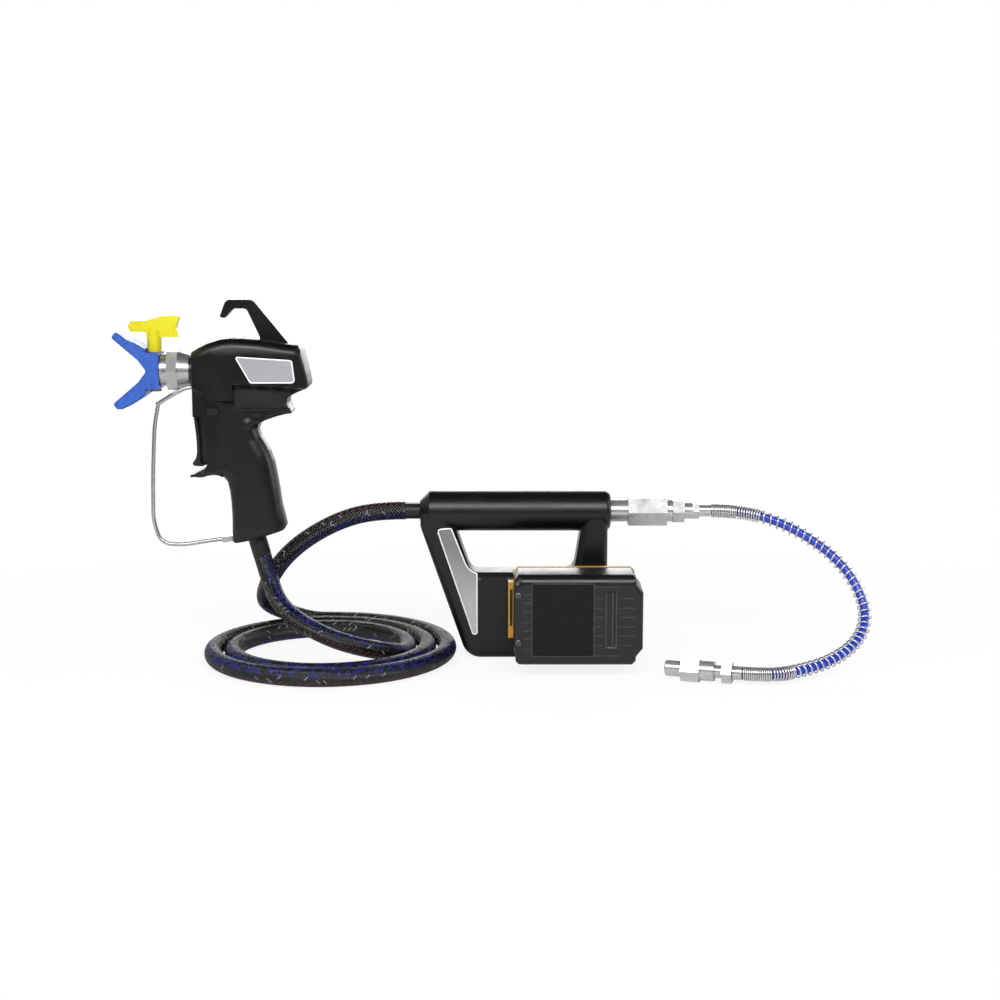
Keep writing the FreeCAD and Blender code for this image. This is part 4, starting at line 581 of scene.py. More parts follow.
METALS = {
    "plate_rim": ((0.86, 0.865, 0.87), 0.35, 900, 0.00001, 0.3),
    "bright_zinc": ((0.42, 0.41, 0.4), 0.24, 700, 0.00003),
    "wire_steel": ((0.4, 0.4, 0.41), 0.22, 1200, 0.00002),
    "screw_steel": ((0.5, 0.5, 0.51), 0.25, 1500, 0.00001),
    "dark_screw": ((0.09, 0.09, 0.095), 0.3, 1500, 0.00001),
    "spring_steel": ((0.55, 0.55, 0.56), 0.22, 1600, 0.00001),
    "valve_metal": ((0.6, 0.6, 0.61), 0.3, 900, 0.00001),
    "copper": ((0.72, 0.36, 0.2), 0.3, 2500, 0.00003),
}
TURNED_STEEL = (0.5, 0.49, 0.49)
RING_PITCH = 0.0004

for name, values in PLASTICS.items():
    moulded(name, *values)
for name, values in METALS.items():
    metal(name, *values)
turned_metal("line_metal", TURNED_STEEL, 0.24, (1, 0, 0), RING_PITCH)
turned_metal("fitting_metal", TURNED_STEEL, 0.24, tuple(FITTING_ALONG), RING_PITCH)
brushed("gun_plate_silver", (0.38, 0.385, 0.415), 0.42, (30, 1500, 1500))
# The handle plate darkens towards its top, under the handle tube: painted shade.
brushed("handle_plate_silver", (0.46, 0.455, 0.47), 0.45, (1500, 1500, 40),
        painted_shade=(0.04, 0.095, 1.0, 0.42))
translucent("tip_yellow", (0.72, 0.65, 0.018), 0.28)
woven("mesh_steel", (0.5, 0.5, 0.5), 9000.0)
braid("hose_braid")

WORN_BY = {
    "gun_plastic": ["gun_shell_left", "gun_shell_right", "hanging_hook"],
    "boot_rubber": ["hose_boot", "hose_collar"],
    "trigger_plastic": ["trigger", "trigger_lock", "microswitch", "nose_ring"],
    "gun_plate_silver": ["gun_nameplate"],
    "handle_plate_silver": ["handle_nameplate"],
    "screw_steel": ["gun_screws", "handle_screws", "trigger_pin", "tip_barrel"],
    "spring_steel": ["trigger_spring", "needle_spring", "latch_spring", "filter_spring"],
    "wire_steel": ["trigger_guard", "guard_clip"],
    "valve_metal": ["valve_body", "needle", "diffuser", "gun_fluid_tube", "handle_fluid_tube"],
    "copper": ["solenoid_coil", "terminal_blades"],
    "bright_zinc": ["retaining_nut"],
    "guard_blue": ["tip_guard"],
    "tip_yellow": ["tip_handle"],
    "seal_rubber": ["tip_seal"],
    "handle_plastic": ["handle_shell_front", "handle_shell_rear", "terminal_block"],
    "board_green": ["control_board", "battery_board"],
    "line_metal": ["outlet_fitting", "filter_body", "filter_adapter", "whip_nut", "whip_stem"],
    "fitting_metal": ["inlet_barrel", "inlet_body", "inlet_swivel_nut"],
    "mesh_steel": ["filter_element"],
    "battery_plastic": ["battery_inner_cover", "battery_outer_cover"],
    "latch_yellow": ["battery_latch"],
    "cell_wrap": ["battery_cells"],
}


def wear(thing, name):
    thing.data.materials.clear()
    thing.data.materials.append(MATERIALS[name])


def finish_piece(piece, body, material):
    wear(dressed(piece, body), material)


for name, nodes in WORN_BY.items():
    for node in nodes:
        wear(smooth_by_angle(NODES[node]), name)
wear(gun_hose, "hose_braid")
wear(whip_hose, "whip_blue")
for coil in whip_coils:
    wear(coil, "spring_steel")


# Plates: a raised bright rim round each

RIM_WIDTH = 0.0011
RIM_HEIGHT = 0.00035
RIM_LIP = 0.00015
RIM_SEAT = 0.0002


def front_outline(name):
    """The outline of a node's face that looks along -Y, as points in order, with its Y."""
    mesh = NODES[name].data
    front = [p for p in mesh.polygons if p.normal.y < -0.98]
    level = min(p.center.y for p in front)
    edges = {}
    for polygon in front:
        if polygon.center.y > level + 0.0002:
            continue
        corners = [tuple(round(v, 6) for v in mesh.vertices[k].co) for k in polygon.vertices]
        for start, end in zip(corners, corners[1:] + corners[:1]):
            if edges.get(end) and start in edges[end]:
                edges[end].remove(start)
            else:
                edges.setdefault(start, []).append(end)
    loop = [next(start for start, ends in edges.items() if ends)]
    while edges[loop[-1]]:
        following = edges[loop[-1]].pop()
        if following == loop[0]:
            break
        loop.append(following)
    return [Vector((x, z)) for x, y, z in loop], level


def inset(loop, distance):
    """The same closed outline, moved towards its inside."""
    area = sum(a.x * b.y - b.x * a.y for a, b in zip(loop, loop[1:] + loop[:1]))
    turn = 1 if area > 0 else -1
    moved = []
    for before, here, after in zip(loop[-1:] + loop[:-1], loop, loop[1:] + loop[:1]):
        first, second = (here - before).normalized(), (after - here).normalized()
        normal = Vector((-first.y - second.y, first.x + second.x)) * turn
        length = normal.length_squared / 2
        moved.append(here + normal * (distance / max(length, 0.4)))
    return moved


def ring_of_loops(name, loops):
    """A closed band through outlines of as many points, each with its own Y."""
    count = len(loops[0][0])
    points = [(p.x, level, p.y) for loop, level in loops for p in loop]
    faces = []
    for k in range(len(loops)):
        following = (k + 1) % len(loops)
        for j in range(count):
            after = (j + 1) % count
            faces.append((k * count + j, k * count + after,
                          following * count + after, following * count + j))
    return smooth_by_angle(closed_mesh(mesh_object(name, points, faces)), 50)


def build_plate_rim(name, node):
    loop, level = front_outline(node)
    seat, lip, top = level + RIM_SEAT, level - RIM_HEIGHT + RIM_LIP, level - RIM_HEIGHT
    profile = [(0, seat), (0, lip), (RIM_LIP, top), (RIM_WIDTH - RIM_LIP, top),
               (RIM_WIDTH, lip), (RIM_WIDTH, seat)]
    rim = ring_of_loops(name, [(inset(loop, inwards), y) for inwards, y in profile])
    finish_piece(rim, "frame", "plate_rim")


build_plate_rim("gun_plate_rim", "gun_nameplate")
build_plate_rim("handle_plate_rim", "handle_nameplate")


# Outlines of hollow forms: X and Z in millimetres, in stretches that share an edge radius

def evened_stretches(outline, step):
    """An outline's stretches at even steps, each with its edge radius."""
    stretches = []
    last = outline[-1][1][-1]
    for radius, corners in outline:
        line = np.array([last, *corners], float)[int(last == corners[0]):]
        last = corners[-1]
        level = np.column_stack([line, np.zeros(len(line))])
        stretches.append((radius, evenly(level, step)[:, :2]))
    return stretches


def closed(loop):
    """A closed outline with its first point again at the end."""
    return np.vstack([loop, loop[:1]])


def nearest(points, line):
    """Each point's distance to a line of short straight pieces."""
    best = np.full(len(points), 1e9)
    for start, end in zip(line[:-1], line[1:]):
        along = end - start
        share = np.clip((points - start) @ along / (along @ along), 0, 1)
        best = np.minimum(best, np.linalg.norm(points - start - share[:, None] * along, axis=1))
    return best


def inside(points, loop):
    """Which points lie within a closed outline."""
    found = np.zeros(len(points), bool)
    for (x0, z0), (x1, z1) in zip(loop, np.roll(loop, -1, axis=0)):
        crosses = (z0 > points[:, 1]) != (z1 > points[:, 1])
        where = x0 + (points[:, 1] - z0) * (x1 - x0) / ((z1 - z0) or 1)
        found ^= crosses & (points[:, 0] < where)
    return found


def round_hole(x, z, radius, count=20):
    turn = np.linspace(0, 2 * math.pi, count, endpoint=False)
    return np.column_stack([x + radius * np.cos(turn), z + radius * np.sin(turn)])


def rounded_hole(left, right, low, high, radius, steps=4):
    """A rectangle with round corners, anticlockwise."""
    loop = []
    for x, z, start in ((right, high, 0), (left, high, 90), (left, low, 180), (right, low, 270)):
        centre = np.array([x - math.copysign(radius, x - (left + right) / 2),
                           z - math.copysign(radius, z - (low + high) / 2)])
        for k in range(steps + 1):
            angle = math.radians(start + 90 * k / steps)
            loop.append(centre + radius * np.array([math.cos(angle), math.sin(angle)]))
    return np.array(loop)


# Hollow forms: a triangulated face, a wall round it and a thickness. Also in millimetres

FORM_STEP = 1.0
EDGE_ROWS = (0.25, 0.6, 1.1)
GRID_CLEARANCE = 1.5
HOLE_CLEARANCE = 0.45
OPEN_EDGE = 0.02
LEAST_WALL = 0.1
WALL = 0.0019


def edge_rows(loop):
    """Rows of points just inside an outline, where the face's edge is rounded."""
    rows = []
    for distance in EDGE_ROWS:
        row = np.array([tuple(p) for p in inset([Vector(p) for p in loop], distance)])
        row = row[inside(row, loop)]
        rows.append(row[nearest(row, closed(loop)) > distance * 0.85])
    return rows


def inner_grid(loop):
    """Points in staggered rows over the rest of an outline's inside."""
    low, high = loop.min(axis=0), loop.max(axis=0)
    heights = np.arange(low[1], high[1], FORM_STEP * 0.87)
    grid = np.array([(x + (k % 2) * FORM_STEP / 2, z) for k, z in enumerate(heights)
                     for x in np.arange(low[0], high[0], FORM_STEP)])
    grid = grid[inside(grid, loop)]
    return grid[nearest(grid, closed(loop)) > GRID_CLEARANCE]


def triangulated(loop, holes):
    """Points and triangles that fill an outline around its holes."""
    free = np.concatenate([*edge_rows(loop), inner_grid(loop)])
    for hole in holes:
        free = free[nearest(free, closed(hole)) > HOLE_CLEARANCE]
    edges, start = [], 0
    for one in (loop, *holes):
        edges += [(start + k, start + (k + 1) % len(one)) for k in range(len(one))]
        start += len(one)
    points = np.concatenate([loop, *holes, free])
    found = delaunay_2d_cdt([Vector(p) for p in points], edges, [], 0, 1e-5)
    flat = np.array([tuple(p) for p in found[0]])
    centres = np.array([flat[list(face)].mean(axis=0) for face in found[2]])
    kept = inside(centres, loop)
    for hole in holes:
        kept &= ~inside(centres, hole)
    return flat, [tuple(face) for face, keep in zip(found[2], kept) if keep]


def rounded_face(points, stretches, depth_at):
    """How far from the open side the face stands at each point, with its edges rounded."""
    depth = depth_at(points[:, 0], points[:, 1])
    face = depth.copy()
    for radius, line in stretches:
        if radius is None:
            continue
        inwards = np.minimum(nearest(points, line), radius)
        face = np.minimum(face, depth - radius + np.sqrt(radius ** 2 - (radius - inwards) ** 2))
    return face


def turn_outwards(thing, side):
    """Drops an open skin's unused points and turns its faces away from its open side."""
    work = bmesh.new()
    work.from_mesh(thing.data)
    bmesh.ops.delete(work, geom=[v for v in work.verts if not v.link_faces], context="VERTS")
    bmesh.ops.recalc_face_normals(work, faces=work.faces)
    flank = max(work.faces, key=lambda face: side * face.calc_center_median().y)
    if flank.normal.y * side < 0:
        bmesh.ops.reverse_faces(work, faces=work.faces)
    work.to_mesh(thing.data)
    work.free()


def thicken(thing, thickness):
    """Gives a skin this thickness on its inner side."""
    wall = thing.modifiers.new("wall", "SOLIDIFY")
    wall.thickness = thickness
    wall.offset = -1
    solid = bpy.data.meshes.new_from_object(thing.evaluated_get(
        bpy.context.evaluated_depsgraph_get()))
    thing.modifiers.clear()
    thing.data = solid


def hollow_half(name, outline, depth_at, side, holes=(), base=0.0, bore_at=None):
    """A thin-walled form open towards Y = base, which stands out along Y by the side's sign.
    A stretch without an edge radius has no wall. bore_at gives how far up a wall is open."""
    stretches = evened_stretches(outline, FORM_STEP)
    loop = np.concatenate([line[:-1] for radius, line in stretches])
    walled = [radius is not None for radius, line in stretches for _ in line[:-1]]
    flat, faces = triangulated(loop, holes)
    depth = rounded_face(flat, stretches, depth_at)
    skin = [(x, base + side * y, z) for (x, z), y in zip(flat, depth)]
    wall_ends = []
    for x, z in loop:
        top = int(np.argmin(np.linalg.norm(flat - (x, z), axis=1)))
        bore = bore_at(x, z) if bore_at else OPEN_EDGE
        wall_ends.append((top, len(skin)))
        skin.append((x, base + side * min(bore, max(depth[top] - LEAST_WALL, OPEN_EDGE)), z))
    for k, has_wall in enumerate(walled):
        if has_wall:
            top, foot = wall_ends[k]
            next_top, next_foot = wall_ends[(k + 1) % len(wall_ends)]
            faces.append((top, next_top, next_foot, foot))
    form = mesh_object(name, [metres(p) for p in skin], faces)
    turn_outwards(form, side)
    thicken(form, WALL)
    return smooth_by_angle(form, 38)


def slope(value, start, length):
    """Rises smoothly from 0 at start to 1 at start + length. A negative length rises
    towards lower values."""
    share = np.clip((value - start) / length, 0, 1)
    return share * share * (3 - 2 * share)


def extruded(name, outline, half_depth, rounding=0.0004):
    """An outline drawn out to both sides of the middle plane, with rounded edges."""
    work = bmesh.new()
    rings = [[work.verts.new(metres((x, y, z))) for x, z in outline]
             for y in (-half_depth, half_depth)]
    work.faces.new(rings[0])
    work.faces.new(rings[1][::-1])
    for k in range(len(outline)):
        after = (k + 1) % len(outline)
        work.faces.new((rings[0][after], rings[0][k], rings[1][k], rings[1][after]))
    bmesh.ops.recalc_face_normals(work, faces=work.faces)
    ends = [e for e in work.edges if abs(e.verts[0].co.y - e.verts[1].co.y) < 1e-6]
    bmesh.ops.bevel(work, geom=ends, offset=rounding, segments=2, affect="EDGES")
    return smooth_by_angle(object_from(name, work), 40)


# Gun housing, closer to the picture than its nodes: clockwise from the crown, with an open
# slot behind the trigger

FRONT_WALL = -289.5
HOUSING = [
    (7, [(-289.4, 257.7), (-283.9, 261), (-276.4, 264.7), (-266, 268), (-257.1, 269.1),
         (-245.3, 268.8), (-233.5, 268), (-218.7, 265.8), (-211.4, 264.6), (-201, 263.2),
         (-199.6, 261)]),
    (2.5, [(-196.8, 249.9), (-194.2, 239.5), (-192.8, 231.4), (-193.2, 229.1), (-195, 227.6)]),
    (1.2, [(-201.7, 225), (-208.4, 221.7), (-210.7, 219.4), (-211.1, 215.7), (-209.4, 212),
           (-207.2, 208.2), (-208, 207), (-210.9, 206.7)]),
    (3, [(-219.9, 204.5), (-228.9, 201.5), (-233.4, 199.3), (-235.7, 197), (-236.2, 193.3)]),
    (14, [(-234.4, 188), (-230.8, 182), (-227.2, 175.2), (-223.9, 166.2), (-221.9, 155.6),
          (-219.9, 143.5), (-218.1, 129.9), (-215.6, 119.2), (-214.2, 112.8)]),
    (1.5, [(-215, 110.4), (-217.2, 108.8), (-224.8, 106.3), (-236.9, 102.4), (-247.5, 99.7),
           (-255.1, 98.3), (-257.3, 98.6), (-259.5, 100.9)]),
    (8, [(-259.2, 107), (-259, 113.1), (-259, 122.3), (-259.5, 132.9), (-260.4, 142),
         (-262.1, 149.6), (-265.1, 153.4)]),
    (3, [(-268.8, 155.2), (-273.2, 155.6), (-277.7, 154.9), (-282.3, 153.4), (-285.3, 153.1),
         (-293.5, 153.4), (-293.9, 154.4), (-289.7, 155.8), (-285.9, 158.1), (-281.2, 160.3)]),
    (None, [(-278.4, 163.8), (-276.5, 169.2), (-276.1, 172.2), (-277.6, 179.8), (-278.4, 187.3),
            (-279, 197.8), (-279.4, 204.1), (FRONT_WALL, 204.2)]),
    (1.2, [(FRONT_WALL, 212.7), (FRONT_WALL, 227.6), (FRONT_WALL, 242.5), (-289.4, 257.7)]),
]
NOSE_HEIGHT = 242
NOSE_RADIUS = 12.8
LOCK_HOLE = rounded_hole(-276.9, -267.1, 205.8, 212.2, 2.5)
GUN_SCREWS = [(-262, 260.6), (-204, 244), (-246, 198), (-233, 142), (-228, 118)]
SCREW_HOLE = 3.1
HEAD_EDGE_X = [-290.6, -284, -276, -270, -264, -255.4, -254.2, -208]
HEAD_EDGE_Z = [227, 223.5, 220, 217.6, 216, 215.8, 229.6, 226.6]


def housing_depth(x, z):
    """Half the housing's depth before its edges are rounded."""
    nose, head_swell, head_length, rear_taper, crown_taper = 15.4, 7.6, 23, 4.5, 2
    head = nose + head_swell * np.sin(math.pi / 2 * np.clip((x - FRONT_WALL) / head_length, 0, 1))
    head -= rear_taper * slope(x, -206, 13) + crown_taper * slope(z, 254, 15)

    front, grip_swell, foot_taper, throat_taper, rest_taper = 14.4, 2.6, 1.6, 2.6, 0.22
    grip = front + grip_swell * slope(x, -283, 17) - foot_taper * slope(z, 112, -13)
    grip -= throat_taper * slope(x, -250, 7) * slope(z, 197, 8)
    grip *= 1 - rest_taper * slope(x, -282, -10) * slope(z, 166, -6)

    block_top, block_swell, block_height = 15.6, 2.3, 16.6
    block = block_top + block_swell * np.clip((228.6 - z) / block_height, 0, 1)
    grip += (block - grip) * slope(x, -255.2, 1.2) * slope(z, 211.2, 1.0)
    return grip + (head - grip) * slope(z, np.interp(x, HEAD_EDGE_X, HEAD_EDGE_Z), 2.4)


def nose_bore(x, z):
    """The half width that the housing's front wall leaves open for the valve."""
    reach = NOSE_RADIUS ** 2 - (z - NOSE_HEIGHT) ** 2
    return math.sqrt(reach) if x < -289 and reach > 0 else OPEN_EDGE


def build_half_housing(name, node, side, holes):
    half = hollow_half(name, HOUSING, housing_depth, side, holes, bore_at=nose_bore)
    finish_piece(half, "frame", "gun_plastic")
    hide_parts(node)


build_half_housing("gun_housing_left", "gun_shell_left", -1, [LOCK_HOLE])
build_half_housing("gun_housing_right", "gun_shell_right", 1, [LOCK_HOLE] + [
    round_hole(x, z, SCREW_HOLE) for x, z in GUN_SCREWS])


# Trigger: a thin curved blade in front of a narrow web

TRIGGER_FRONT = [(-289, 203.6), (-288.2, 196), (-287.4, 188), (-287, 181), (-287, 174),
                 (-287.8, 170), (-289.4, 167.2), (-290.8, 165.4), (-290.6, 163.9),
                 (-288.8, 162.8)]
TRIGGER_REAR = [(-282.2, 162.6), (-281.4, 163.4), (-283.6, 164.4), (-284.6, 168), (-284.4, 174),
                (-284.5, 181), (-284.9, 188), (-285.7, 196), (-286.4, 203.6)]
WEB_REAR = [(-276.6, 203.6), (-273.8, 201), (-273.8, 196.6), (-276.4, 190), (-277.4, 178),
            (-278.4, 168), (-280.6, 162.8)]
BLADE_HALF = 10.6
WEB_HALF = 4.4


def build_trigger():
    blade = extruded("trigger_blade", TRIGGER_FRONT + TRIGGER_REAR, BLADE_HALF)
    web = extruded("trigger_web", TRIGGER_REAR + WEB_REAR, WEB_HALF)
    for piece in (blade, web):
        finish_piece(piece, "trigger", "trigger_plastic")
    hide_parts("trigger")


build_trigger()


# Arms of the tip guard, thicker than the node's own

GUARD_ARMS = {
    "guard_arm_up": [
        (-352.6, 270.6), (-351.6, 272.8), (-349, 273), (-346.6, 271.6), (-343.8, 268.6),
        (-334.6, 264.6), (-327.2, 260.4), (-327.2, 249.4), (-329.6, 250.8), (-336, 254.4),
        (-343.3, 259.8), (-349.2, 265.4), (-352.6, 268.6)],
    "guard_arm_down": [
        (-327.2, 235.2), (-327.2, 222.4), (-334, 217.6), (-341.5, 213), (-347, 210.6),
        (-350.6, 210.5), (-352, 213), (-351.4, 216.4), (-348, 220), (-341, 225.4),
        (-334, 230.4)],
}
ARM_HALF = 14.2
ARM_ROUNDING = 0.0009

for name, outline in GUARD_ARMS.items():
    arm = extruded(name, outline, ARM_HALF, ARM_ROUNDING)
    finish_piece(arm, "tip_guard", "guard_blue")


# Battery covers, closer to the picture than their nodes

BATTERY_FACE = -82.0
BATTERY_BACK = -44.0
BATTERY_OUTLINE = [
    (7.5, [(-20.5, 84), (71.5, 84)]),
    (3, [(74.4, 81), (74.5, 76.5), (77, 73.5), (79.8, 70), (79.8, 24), (77, 20.5), (74.5, 17.5),
         (74.2, 13)]),
    (5, [(71.5, 10.1), (-20, 10.1)]),
    (3, [(-22.8, 13), (-23.4, 22.5), (-24.4, 25.5), (-24.4, 71.5), (-23.4, 74.5), (-23, 80.5)]),
]
BAY_LEFT, BAY_RIGHT, BAY_LOW, BAY_HIGH = 49.6, 58.2, 24.8, 71
BAY_EDGE = 0.5
BAY_DEPTH = 0.8
INNER_TOP = 0.079
INNER_TOP_DROP = 0.0052


def battery_depth(x, z):
    """The outer cover's depth, with a shallow step down at its left and low ends and a
    sunken bay."""
    bay = slope(x, BAY_LEFT, BAY_EDGE) * slope(x, BAY_RIGHT, -BAY_EDGE)
    bay *= slope(z, BAY_LOW, BAY_EDGE) * slope(z, BAY_HIGH, -BAY_EDGE)
    left_step, low_step = 0.9 * slope(x, -17.6, -1.0), 0.7 * slope(z, 17, -0.8)
    return BATTERY_BACK - BATTERY_FACE - left_step - low_step - BAY_DEPTH * bay


def build_battery_outer():
    outer = hollow_half("battery_case_outer", BATTERY_OUTLINE, battery_depth, -1,
                        base=BATTERY_BACK)
    finish_piece(outer, "battery", "battery_plastic")
    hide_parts("battery_outer_cover")


def build_battery_inner():
    """The inner cover's own form with a lower top."""
    node = NODES["battery_inner_cover"]
    inner = link(node.copy())
    inner.data = node.data.copy()
    inner.name = "battery_case_inner"
    for vertex in inner.data.vertices:
        if vertex.co.z > INNER_TOP:
            vertex.co.z -= INNER_TOP_DROP
    finish_piece(inner, "battery", "battery_plastic")
    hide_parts("battery_inner_cover")


build_battery_outer()
build_battery_inner()


# On the battery's face: ribs, label film, yellow trim, latch slot and screws

RIB_HEIGHT = 0.6
LOW_RIB_HEIGHT = 0.35
RIB_WIDTH = 1.0
RIB_SEAT = 0.4
FILM_HEIGHT = 0.12
LABEL = (-9.2, 39.7, 18.6, 77.2)
LABEL_EDGE = 0.9
TRIM_BACK, TRIM_FRONT = -0.0422, -0.0448
TRIM_PROUD = 0.00045
TRIM_SEAT = 0.0006
LATCH_SLOT = ((-27.2, -38.06, 33), (-24.9, -37.6, 64))
BATTERY_SCREWS = [(-20.6, -82.7, 67.9), (-20.6, -82.7, 29.0)]


def raised_bars(name, boxes, rounding=0.00025):
    """Blocks with rounded edges in one mesh. Each is given by its two corners."""
    work = bmesh.new()
    for low, high in boxes:
        low, high = Vector(low) / 1000, Vector(high) / 1000
        corners = [work.verts.new((x, y, z)) for x in (low.x, high.x)
                   for y in (low.y, high.y) for z in (low.z, high.z)]
        made = [work.faces.new([corners[k] for k in face]) for face in (
            (0, 1, 3, 2), (4, 6, 7, 5), (0, 4, 5, 1), (2, 3, 7, 6), (0, 2, 6, 4), (1, 5, 7, 3))]
        edges = {edge for face in made for edge in face.edges}
        bmesh.ops.bevel(work, geom=list(edges), offset=rounding, segments=2, affect="EDGES")
    bmesh.ops.recalc_face_normals(work, faces=work.faces)
    return smooth_by_angle(object_from(name, work))


def on_face(left, right, low, high, height=RIB_HEIGHT):
    """The two corners of a block that stands on the battery's face."""
    return (left, BATTERY_FACE - height, low), (right, BATTERY_FACE + RIB_SEAT, high)


def level_ribs(left, right, places):
    """Level ribs, one at each height."""
    return [on_face(left, right, z - RIB_WIDTH / 2, z + RIB_WIDTH / 2) for z in places]


def build_battery_ribs():
    left, right, low, high = LABEL
    rib_rows = (57.9, 50.3, 42.6, 34.9)
    bars = level_ribs(-17.2, -9.5, (69, 62, 54.5, 46, 39, 32.6, 24))
    bars += level_ribs(40.7, 47.3, (65.9, *rib_rows, 27.3))
    bars += level_ribs(40.7, 62, (74.9, 18.6))
    bars += level_ribs(60, 71.4, (65.9, 27.3))
    bars += level_ribs(60, 73.6, rib_rows)
    bars += [on_face(49.3, 50.4, 24.6, 71.2), on_face(57.5, 58.6, 24.6, 71.2),
             on_face(54.4, 55.6, 24.6, 71.2, LOW_RIB_HEIGHT)]
    bars += [on_face(x, x + LABEL_EDGE, low - LABEL_EDGE, high + LABEL_EDGE)
             for x in (left - LABEL_EDGE, right)]
    bars += [on_face(left, right, z, z + LABEL_EDGE) for z in (high, low - LABEL_EDGE)]
    relief = raised_bars("battery_face_ribs", bars)
    # A paler plastic on the ribs, standing in for their lit edges: a painted highlight.
    finish_piece(relief, "battery", "rib_plastic_painted_highlight")
    film = raised_bars("battery_label_film", [on_face(*LABEL, FILM_HEIGHT)], 0.00008)
    finish_piece(film, "battery", "label_film")


def build_battery_trim():
    body = [Vector(point) / 1000 for radius, points in BATTERY_OUTLINE for point in points]
    outer, inner = inset(body, -TRIM_PROUD), inset(body, TRIM_SEAT)
    band = ring_of_loops("battery_trim", [
        (inner, TRIM_BACK), (outer, TRIM_BACK), (outer, TRIM_FRONT), (inner, TRIM_FRONT)])
    finish_piece(band, "battery", "latch_yellow")


def turned_heads(name, places, radius, height, sides=20):
    """Round screw heads that look along -Y, each with a round socket. Each place is X, the
    Y of the head's top, and Z."""
    profile = [(height, 1), (0.3, 1), (0, 0.8), (0.05, 0.42), (height * 0.6, 0.36)]
    points, faces = [], []
    for x, y, z in places:
        rings = []
        for back, share in profile:
            rings.append(list(range(len(points), len(points) + sides)))
            for k in range(sides):
                angle = 2 * math.pi * k / sides
                points.append(metres((x + radius * share * math.cos(angle), y + back,
                                      z + radius * share * math.sin(angle))))
        for first, second in zip(rings, rings[1:]):
            for k in range(sides):
                after = (k + 1) % sides
                faces.append((first[k], first[after], second[after], second[k]))
        faces.append(tuple(rings[0]))
        faces.append(tuple(reversed(rings[-1])))
    return smooth_by_angle(closed_mesh(mesh_object(name, points, faces)))


def build_battery_details():
    slot = raised_bars("latch_slot", [LATCH_SLOT], 0.00002)
    finish_piece(slot, "battery_latch", "battery_plastic")
    screws = turned_heads("battery_screws", BATTERY_SCREWS, radius=2.5, height=2.4)
    finish_piece(screws, "battery", "dark_screw")


build_battery_ribs()
build_battery_trim()
build_battery_details()


# Floor and world

WHITE = (1, 1, 1, 1)
STUDIO_RADIUS = 1.15
FLOOR_GREY = (0.9, 0.9, 0.9)
SHADOW_SCALES = (0.8, 1.15, 1)
SHADOW_REACH = (0.25, 0.62)
WHITE_NEAR = 0.86
FILL = 0.3
STUDIO_FRONT = [(-0.05, 0.04), (0.25, 0.08), (0.42, 0.8), (0.7, 0.8), (0.82, 0.2), (1, 0.05)]
STUDIO_BACK = [(-0.3, 0.4), (0.0, 1.0), (0.26, 1.0), (0.44, 0.16), (1, 0.05)]


def build_floor_white(name):
    """White to the camera far from the object. Near it some of its own shade is left,
    which keeps the shadow."""
    finish = Finish(name, FLOOR_GREY, 0.85)
    path = finish.add("LightPath").outputs
    seen = finish.maths("MAXIMUM", path["Is Camera Ray"], path["Is Transmission Ray"])
    reach = finish.add("VectorMath", {0: finish.stretched(SHADOW_SCALES)}, operation="LENGTH")
    share = finish.product(seen, finish.span(reach.outputs["Value"], *SHADOW_REACH,
                                             WHITE_NEAR, 1.0))
    white = finish.add("Emission", {"Color": WHITE, "Strength": 1.0})
    blend = finish.add("MixShader", {0: share, 1: finish.shader.outputs[0], 2: white.outputs[0]})
    finish.feed(finish.tree.nodes["Material Output"].inputs["Surface"], blend.outputs[0])


def build_floor():
    angles = [math.radians(degrees) for degrees in range(0, 360, 6)]
    rim = [(STUDIO_RADIUS * math.cos(a), STUDIO_RADIUS * math.sin(a), 0) for a in angles]
    floor = mesh_object("floor", rim, [tuple(range(len(rim)))])
    build_floor_white("floor_white")
    wear(floor, "floor_white")


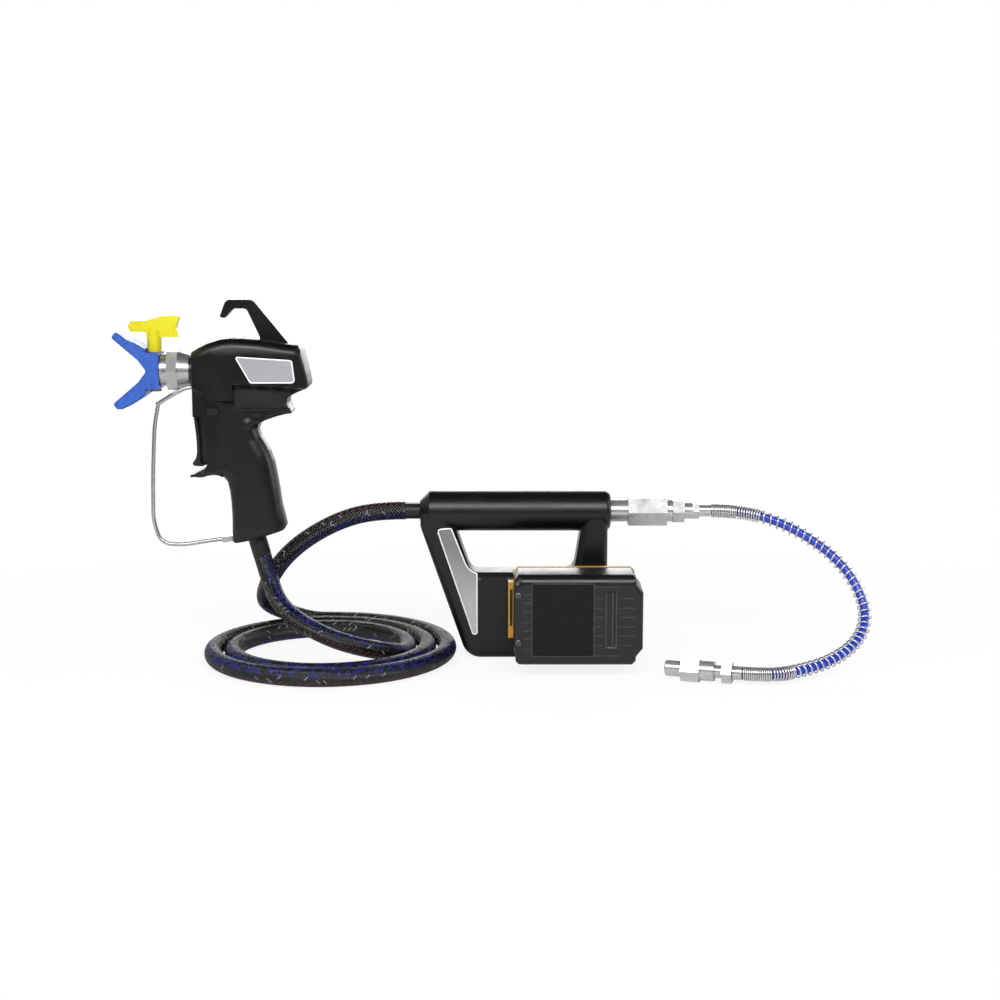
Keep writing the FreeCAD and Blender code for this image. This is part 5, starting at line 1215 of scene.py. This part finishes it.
def height_ramp(nodes, height, stops):
    """Brightness against height above the horizon, from -1 to 1."""
    ramp = nodes.add("ValToRGB", {"Fac": nodes.span(height, -1, 1, 0, 1)})
    elements = ramp.color_ramp.elements
    ramp.color_ramp.interpolation = "EASE"
    while len(elements) < len(stops):
        elements.new(0.5)
    for element, (place, light) in zip(elements, stops):
        element.position = (place + 1) / 2
        element.color = (light, light, light, 1)
    return ramp.outputs["Color"]


def studio_light(nodes):
    """What the object's gloss sees: white behind it, a soft box high in front, and dark
    below that and overhead."""
    direction = nodes.add("SeparateXYZ", {0: nodes.add("TexCoord").outputs["Generated"]}).outputs
    front, back = (height_ramp(nodes, direction["Z"], stops)
                   for stops in (STUDIO_FRONT, STUDIO_BACK))
    behind = nodes.span(direction["Y"], -0.25, 0.35, 0, 1)
    return nodes.add("Background", {"Color": nodes.mix(behind, front, back)})


def build_world():
    world = bpy.data.worlds.new("studio")
    SCENE.world = world
    world.use_nodes = True
    nodes = Nodes(world.node_tree)
    last = nodes.tree.nodes["Background"]
    nodes.feed(last.inputs["Color"], WHITE)
    nodes.feed(last.inputs["Strength"], FILL)
    white = nodes.add("Background", {"Color": WHITE})
    path = nodes.add("LightPath").outputs
    for ray, seen in (("Is Glossy Ray", studio_light(nodes)), ("Is Transmission Ray", white),
                      ("Is Camera Ray", white)):
        last = nodes.add("MixShader", {0: path[ray], 1: last.outputs[0], 2: seen.outputs[0]})
    nodes.feed(nodes.tree.nodes["World Output"].inputs["Surface"], last.outputs[0])


build_floor()
build_world()


# Lamps: name, place, aim, width and height, watts

LAMPS = [
    ("top_light", (-0.05, -1.2, 1.0), (-0.05, 0, 0.12), (1.9, 0.42), 26),
    ("left_light", (-1.3, -0.75, 0.8), (-0.2, 0, 0.2), (0.4, 0.9), 4),
    ("right_light", (1.3, 0.1, 0.4), (-0.1, 0, 0.15), (0.25, 1.0), 5),
    ("back_light", (-0.1, 1.5, 0.5), (-0.05, 0, 0.12), (1.4, 0.5), 9),
]


def build_lamp(name, place, aim, size, power):
    data = bpy.data.lights.new(name, "AREA")
    data.shape = "RECTANGLE"
    data.size, data.size_y = size
    data.energy = power
    lamp = link(bpy.data.objects.new(name, data))
    lamp.location = place
    lamp.rotation_euler = (Vector(aim) - Vector(place)).to_track_quat("-Z", "Y").to_euler()


for lamp_values in LAMPS:
    build_lamp(*lamp_values)
